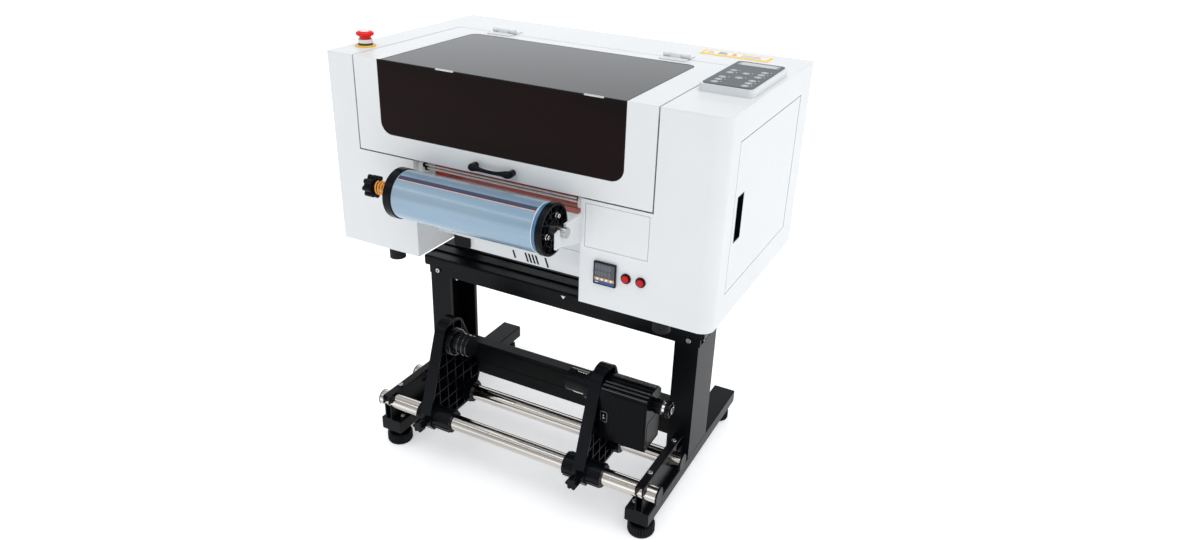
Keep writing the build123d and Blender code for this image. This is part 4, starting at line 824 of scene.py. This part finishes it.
def make_recess():
    """Guide bars with their brackets, the shield's dark seams, and the slots and block on the skirt."""
    low, high = box_of("recess_liner")
    left, right = low[0] + 2.5, high[0] - 2.5
    bars = Shape()
    for y, z, radius in GUIDE_BARS:
        profile = ((left, radius - 0.5), (left + 1, radius), (right - 1, radius), (right, radius - 0.5))
        bars.lathe("x", (y, z), profile, 32)
    # The metal bars take the white label finish: painted highlight, standing for the bright light along the
    # bars.
    bars.finish("film_guide_bars", "cabinet", LABEL_WHITE, "aluminium", edge=0)
    brackets = Shape()
    for x in (left, right - 14):
        brackets.slab("x", (x, x + 14), (-194, 730), (-172, 755), 6)
    brackets.finish("guide_bar_brackets", "cabinet", LABEL_WHITE, "white_paint", edge=0.8)
    caps = Shape()
    for x in (left + 14, right - 17):
        for y, z, _ in GUIDE_BARS:
            caps.lathe("x", (y, z), ((x, 6.2), (x + 2.4, 6.0), (x + 3, 5.2)), 32)
    caps.finish("guide_bar_caps", "cabinet", PLASTIC, "black_plastic", edge=0.2)
    shield_low, shield_high = box_of("amber_shield")
    seams = Shape()
    for z, height in ((shield_high[2] - 22, 1.2), (shield_low[2] + 12, 1.6)):
        seams.block((left, shield_low[1] - 1.6, z), (right, shield_low[1] + 0.1, z + height))
    seams.finish("shield_seams", "cabinet", GLOSS_BLACK, "black_plastic", edge=0.3)
    fold = Shape()
    fold.block((left + 92, FOLD_Y, 604), (left + 94, FOLD_Y + 1.1, 686))
    fold.block((left + 94, FOLD_Y, 604), (right - 30, FOLD_Y + 1.1, 606))
    fold.finish("recess_fold", "cabinet", WHITE, "white_paint", edge=0.4)
    skirt_back = high[1]
    gauze = Shape()
    gauze.block((-92, skirt_back + 0.3, low[2] + 1), (28, skirt_back + 1.3, low[2] + 26))
    gauze.finish("vent_gauze", "cabinet", PLASTIC, "black_plastic", edge=0)
    skirt_front = skirt_back - 2.5
    # Painted shade: the slots are filled flush with black plastic, standing for the dark inside of the open
    # slots.
    slots = Shape()
    vent_z = low[2] + 15
    for x, reach in VENTS:
        outline = [
            (x - end * reach * VENT_LEAN + side * VENT_HALF_WIDTH, vent_z + end * reach)
            for end, side in ((1, -1), (1, 1), (-1, 1), (-1, -1))
        ]
        slots.prism("y", (skirt_front - 0.4, skirt_front + 0.2), outline)
    slots.finish("vent_slot_painted_shade", "cabinet", PLASTIC, "black_plastic", edge=0)
    span = (skirt_front - 6, skirt_front - 0.2)
    corners = (left + 1, low[2] + 1), (left + 44, low[2] + 34)
    plate("skirt_end_block", "cabinet", BLACK, "black_paint", 0.5, "y", span, *corners, 3)


# --- stand -------------------------------------------------------------------------------
PAD_X = 336.0
PADS = ((-200.0, 31.0), (296.0, 24.0))  # y and radius
BEAM_INNER = 307.0
CLAMP_SCREWS_Y = (-180.0, -49.0)
COLUMN_SCREWS_Y = (18.0, 84.0)
COLUMN_FOOT_SCREWS_Z = (112.0, 168.0)
CENTRE_MARK = ((18.0, 421.0), (30.0, 421.0), (24.0, 412.5))


def make_stand():
    """Fluted pads, end caps, bolts and the alignment mark of the stand."""
    low, high = box_of("foot_beams")
    column_low, column_high = box_of("columns")
    inner, outer = BEAM_INNER, column_high[0]
    pads, studs = Shape(), Shape()
    for side in (-1, 1):
        for y, radius in PADS:
            centre = (side * PAD_X, y)
            pads.prism("z", (4.0, 25.0), wavy_outline(centre, radius, 2.6, 30))
            pads.lathe("z", centre, ((0, radius - 4), (0.8, radius - 2.4), (4.1, radius - 1.6)), 72)
            shoulder = ((24.9, radius - 1.6), (27.6, radius - 3), (29.4, radius - 8), (30, 13))
            pads.lathe("z", centre, shoulder, 72)
            studs.lathe("z", centre, ((29.8, 7.6), (low[2] + 0.5, 7.6)), 32)
            studs.prism("z", (low[2] - 8, low[2] - 0.3), wavy_outline(centre, 14.5, 0.0, 6, 1))
    feet = ("levelling_feet",)
    pads.finish("levelling_pads", "cabinet", PLASTIC, "black_plastic", edge=0, stands_for=feet)
    studs.finish("levelling_studs", "cabinet", PLASTIC, "black_plastic", edge=0.5, stands_for=feet)
    for side, side_name in ((-1, "left"), (1, "right")):
        caps = Shape()
        for start, end in ((low[1] - 2.5, low[1] + 0.5), (high[1] - 0.5, high[1] + 2.5)):
            x_low, x_high = sorted((side * inner, side * outer))
            caps.slab("y", (start, end), (x_low, low[2]), (x_high, high[2]), 3.5)
        caps.finish(f"foot_beam_caps_{side_name}", "cabinet", PLASTIC, "black_plastic", edge=0.8)
        beam_low, beam_high = box_of("top_beam")
        x = side * beam_high[0]
        span = sorted((x - side * 0.3, x + side * 2.2))
        corners = (beam_low[1] + 1, beam_low[2] + 25), (beam_high[1] - 1, beam_high[2] - 1)
        name = f"top_beam_plate_{side_name}"
        plate(name, "cabinet", PLASTIC, "black_plastic", 0.5, "x", span, *corners, 3)
    bolts = Shape()
    bolt_top = box_of("stand_bolts")[1][2]
    bar_top = box_of("clamp_bars")[1][2]
    for side in (-1, 1):
        for y in CLAMP_SCREWS_Y:
            socket_screw(bolts, "z", (side * 340.5, y, bar_top), 6.0, 5.0)
        socket_screw(bolts, "y", (side * 340.0, column_low[1], bolt_top - 6.5), 6.0, 5.0, -1)
        socket_screw(bolts, "z", (side * 320.0, -206.0, high[2]), 6.0, 5.0)
        for y in COLUMN_SCREWS_Y:
            socket_screw(bolts, "x", (side * inner, y, 368.0), 5.5, 5.0, -side)
            socket_screw(bolts, "x", (side * outer, y, 393.0), 5.5, 4.0, side)
        for z in COLUMN_FOOT_SCREWS_Z:
            socket_screw(bolts, "y", (side * 330.0, 36.0, z), 5.5, 4.0, -1)
    bolts.finish("stand_bolt_heads", "cabinet", STEEL, "zinc_steel", edge=0.2, stands_for=("stand_bolts",))
    cross_low, cross_high = box_of("cross_beam")
    bead = Shape()
    for z in (cross_low[2] + 34, cross_high[2] - 12):
        bead.lathe("x", (cross_low[1] - 0.1, z), ((cross_low[0] + 1, 0.9), (cross_high[0] - 1, 0.9)), 16)
    bead.finish("cross_beam_beads", "cabinet", BLACK, "black_paint", edge=0)
    mark = Shape()
    front = box_of("top_beam")[0][1]
    mark.prism("y", (front - 0.5, front + 0.1), CENTRE_MARK)
    mark.finish("beam_centre_mark", "cabinet", LABEL_WHITE, "white_paint", edge=0.1)


# --- take-up unit ------------------------------------------------------------------------
HOLDERS = (  # node, body and the plate's two faces
    ("holder_left", "left_holder", (-233.0, -205.0)),
    ("holder_right", "right_holder", (181.0, 209.0)),
)
COLLAR_RIBS = 12
DOME_RISE = 12.0
RIDGES = (-33, -24, -15, 15, 24, 33)  # offsets across the motor's top
HUB_CLIPS = (95, 215, 335)
KNURLS = 16


def make_takeup():
    """Tube caps and the ribs on the holders' collars."""
    tube_low, tube_high = box_of("takeup_tubes")
    tube_z = (tube_low[2] + tube_high[2]) / 2
    radius = (tube_high[2] - tube_low[2]) / 2
    tube_ys = (tube_low[1] + radius, tube_high[1] - radius)
    caps = Shape()
    for side, end in ((-1, tube_low[0]), (1, tube_high[0])):
        profile = [(end - side * 6, radius - 3.0), (end, radius - 2.8), (end, radius + 0.2)]
        profile += [(end + side * 2.2, radius + 0.2), (end + side * 3.4, radius - 1.2)]
        profile += [(end + side * 3.6, radius - 5.0), (end + side * 3.0, 3.0)]
        for y in tube_ys:
            caps.lathe("x", (y, tube_z), profile, 64)
    caps.finish("tube_end_caps", "cabinet", HOUSING, "black_plastic", edge=0)
    for holder, body, faces in HOLDERS:
        low, high = box_of(holder)
        front_span = (low[0], high[0])
        rear_span = (faces[0] - 15, faces[1] + 18)
        ribs = Shape()
        for y, span in ((tube_ys[0], front_span), (tube_ys[1], rear_span)):
            centre = (y, tube_z)
            for reach in ((span[0] + 1, faces[0] + 0.5), (faces[1] - 0.5, span[1] - 1)):
                for step in range(COLLAR_RIBS):
                    turn = 360 / COLLAR_RIBS * (step + 0.5)
                    ribs.rib("x", reach, around(centre, 26.0, turn), around(centre, 28.4, turn), 1.0)
        ribs.finish(f"{holder}_collar_ribs", body, PLASTIC, "black_plastic", edge=0.4)


def make_motor_cover():
    """Ridges along the domed top, inset front and end panels, and the switch's bezel."""
    low, high = box_of("motor_housing")
    shoulder = high[2] - DOME_RISE
    centre_y, half = (low[1] + high[1]) / 2, (high[1] - low[1]) / 2
    arc_radius = (half * half + DOME_RISE * DOME_RISE) / (2 * DOME_RISE)
    arc_z = high[2] - arc_radius
    ridges = Shape()
    for offset in RIDGES:
        z = arc_z + math.sqrt(arc_radius * arc_radius - offset * offset) - 0.4
        profile = ((low[0] + 2, 1.2), (low[0] + 4, 2.7), (high[0] - 4, 2.7), (high[0] - 2, 1.2))
        ridges.lathe("x", (centre_y + offset, z), profile, 24)
    ridges.finish("motor_cover_ridges", "right_holder", GLOSS_BLACK, "black_paint", edge=0)
    span = (low[1] - 1.2, low[1] + 0.1)
    corners = (low[0] + 26, low[2] + 5), (high[0] - 4, shoulder - 4)
    plate("motor_cover_panel", "right_holder", HOUSING, "black_paint", 0.6, "y", span, *corners, 3)
    span = (high[0] - 0.1, high[0] + 0.7)
    corners = (low[1] + 6, low[2] + 8), (high[1] - 6, low[2] + 70)
    plate("motor_cover_end", "right_holder", HOUSING, "black_paint", 0.4, "x", span, *corners, 10)
    switch_front = box_of("motor_switch")[0][1]
    x, z = middle_of("motor_switch", "y")
    bezel = Shape()
    for sign in (-1, 1):
        span = sorted((x + sign * 6.7, x + sign * 9.5))
        bezel.block((span[0], low[1] - 2.0, z - 14), (span[1], low[1] + 0.5, z + 14))
        span = sorted((z + sign * 10.8, z + sign * 14))
        bezel.block((x - 9.5, low[1] - 2.0, span[0]), (x + 9.5, low[1] + 0.5, span[1]))
    bezel.finish("motor_switch_bezel", "right_holder", GLOSS_BLACK, "black_plastic", edge=0.6)
    marks = Shape()
    marks.block((x - 0.5, switch_front - 0.1, z + 2), (x + 0.5, switch_front + 0.9, z + 6))
    marks.ring("y", (x, z - 4), tube_profile((low[1] - 2.2, low[1] - 1.2), 2.2, 1.6), 24)
    marks.finish("motor_switch_marks", "motor_switch", LABEL_WHITE, "black_plastic", edge=0)


def make_hubs():
    """Rings on the idle hub; spring clips, knurls and the star nut on the drive hub."""
    centre = middle_of("idle_hub", "x")
    idle_low, idle_high = box_of("idle_hub")
    drive_low, drive_high = box_of("drive_hub")
    housing_end = box_of("motor_housing")[1][0]
    for number, degrees in enumerate(HUB_CLIPS):
        points = []
        for step in range(9):
            reach = 25.4 + (1.6 if step % 2 else 0.0)
            y, z = around(centre, reach, degrees + (5 if step % 2 else -5))
            points.append((drive_low[0] + 46 - 3.2 * step, y, z))
        wire(f"drive_hub_clip_{number}", points, [0.9] * 9, "drive_hub", CHROME)
    rings = Shape()
    flange_x = idle_low[0] + 29
    end = idle_high[0]
    for x, reach, width in (
        (flange_x + 1.5, 31.0, 0.9), (flange_x + 7, 31.0, 0.9), (flange_x + 12.5, 31.0, 0.9),
        (end - 27, 24.6, 2.4), (end - 14, 24.6, 2.4), (end - 2.5, 24.2, 2.2),
    ):
        rings.ring("x", centre, ((x - width, reach), (x, reach + 1.9), (x + width, reach)), 64)
    rings.finish("idle_hub_rings", "idle_hub", GLOSS_BLACK, "black_plastic", edge=0)
    knurls = Shape()
    profile = ((housing_end + 3, 0.8), (housing_end + 5, 1.7), (housing_end + 19, 1.7))
    for step in range(KNURLS):
        knurls.lathe("x", around(centre, 15.0, 360 / KNURLS * step), profile, 12)
    knurls.finish("drive_hub_knurls", "drive_hub", PLASTIC, "black_plastic", edge=0)
    star = Shape()
    span = (drive_high[0] - 15, drive_high[0] - 4)
    star.prism("x", span, wavy_outline(centre, 19.0, 6.0, 6))
    star.finish("drive_hub_star", "drive_hub", PLASTIC, "black_plastic", edge=1.2)
    nut = Shape()
    nut.prism("x", (span[1] - 0.5, drive_high[0] - 0.5), wavy_outline(centre, 8.5, 0.0, 6, 1))
    nut.ring("x", centre, tube_profile((housing_end + 21, housing_end + 28), 6.2, 11.5), 32)
    nut.finish("drive_hub_nut", "drive_hub", CHROME, "zinc_steel", edge=0.4)


# --- back --------------------------------------------------------------------------------
INLET_X = (340.0, 388.0)
INLET_Z = (560.0, 590.0)


def make_inlet():
    """Power inlet with its three pins and a rocker switch, set in the opening of the rear panel."""
    back = box_of("rear_panel")[1][1]
    (left, right), (bottom, top) = INLET_X, INLET_Z
    face = back - 0.6
    body = Shape()
    outer = rounded_outline((left + 0.3, bottom + 0.3), (right - 0.3, top - 0.3), 1.5)
    inner = rounded_outline((left + 3, bottom + 3), (left + 27, top - 3), 3)
    body.band("y", (back - 14, face), outer, inner)
    body.block((left + 2, back - 15, bottom + 2), (left + 28, back - 13, top - 2))
    body.block((left + 8, back - 13.5, bottom + 8), (left + 22, face - 1.5, top - 8))
    body.finish("inlet_body", "cabinet", PLASTIC, "black_plastic", edge=0.3)
    pins = Shape()
    for x, z in ((left + 11.5, bottom + 12), (left + 15, bottom + 18), (left + 18.5, bottom + 12)):
        pins.block((x - 0.8, face - 2, z - 2), (x + 0.8, face - 0.3, z + 2))
    pins.finish("inlet_pins", "cabinet", STEEL, "zinc_steel", edge=0.2)
    rocker = Shape()
    x = left + 38.5
    outline = [(back - 6, bottom + 5), (face, bottom + 5), (face - 1.8, bottom + 15)]
    outline += [(face + 0.3, top - 5), (back - 6, top - 5)]
    rocker.prism("x", (x - 5, x + 5), outline)
    rocker.finish("inlet_rocker", "cabinet", RED, "red_plastic", edge=0.5)


# --- inside ------------------------------------------------------------------------------
INK_PITCH = 42.0
INK_Y = 240
DAMPER_PITCH = 20.0
RAIL_SCREW_PITCH = 60.0


def make_inside():
    """Bottle caps, the carriage's ink dampers and the rail's screws, seen with the lid open."""
    low, high = box_of("ink_tanks")
    caps = Shape()
    for number in range(6):
        x = low[0] + 18 + INK_PITCH * number
        caps.prism("z", (high[2] - 10, high[2] + 1), wavy_outline((x, INK_Y), 13.0, 1.0, 20, 4))
    caps.finish("ink_caps", "cabinet", LABEL_WHITE, "ink_bottle", edge=0.5)
    low, high = box_of("print_carriage")
    dampers = Shape()
    for number in range(4):
        x = low[0] + 12 + DAMPER_PITCH * number
        dampers.block((x, low[1] + 10, low[2] + 30), (x + 15, high[1] - 60, low[2] + 118))
    dampers.finish("ink_dampers", "carriage", INK, "ink_bottle", edge=1.2)
    rail_low = box_of("linear_rail")[0]
    rail_z = middle_of("linear_rail", "y")[1]
    screws = Shape()
    for number in range(13):
        x = rail_low[0] + 35 + RAIL_SCREW_PITCH * number
        screws.lathe("y", (x, rail_z), ((rail_low[1] - 0.05, 3.2), (rail_low[1] + 0.2, 3.2)), 20)
    screws.finish("rail_screws", "cabinet", PLASTIC, "black_plastic", edge=0)


make_camera()
make_studio()
dress_nodes()
make_lid_details()
make_keypad()
make_deck_label()
make_estop()
make_controller_face()
make_supply_roll()
make_web()
make_recess()
make_stand()
make_takeup()
make_motor_cover()
make_hubs()
make_inlet()
make_inside()
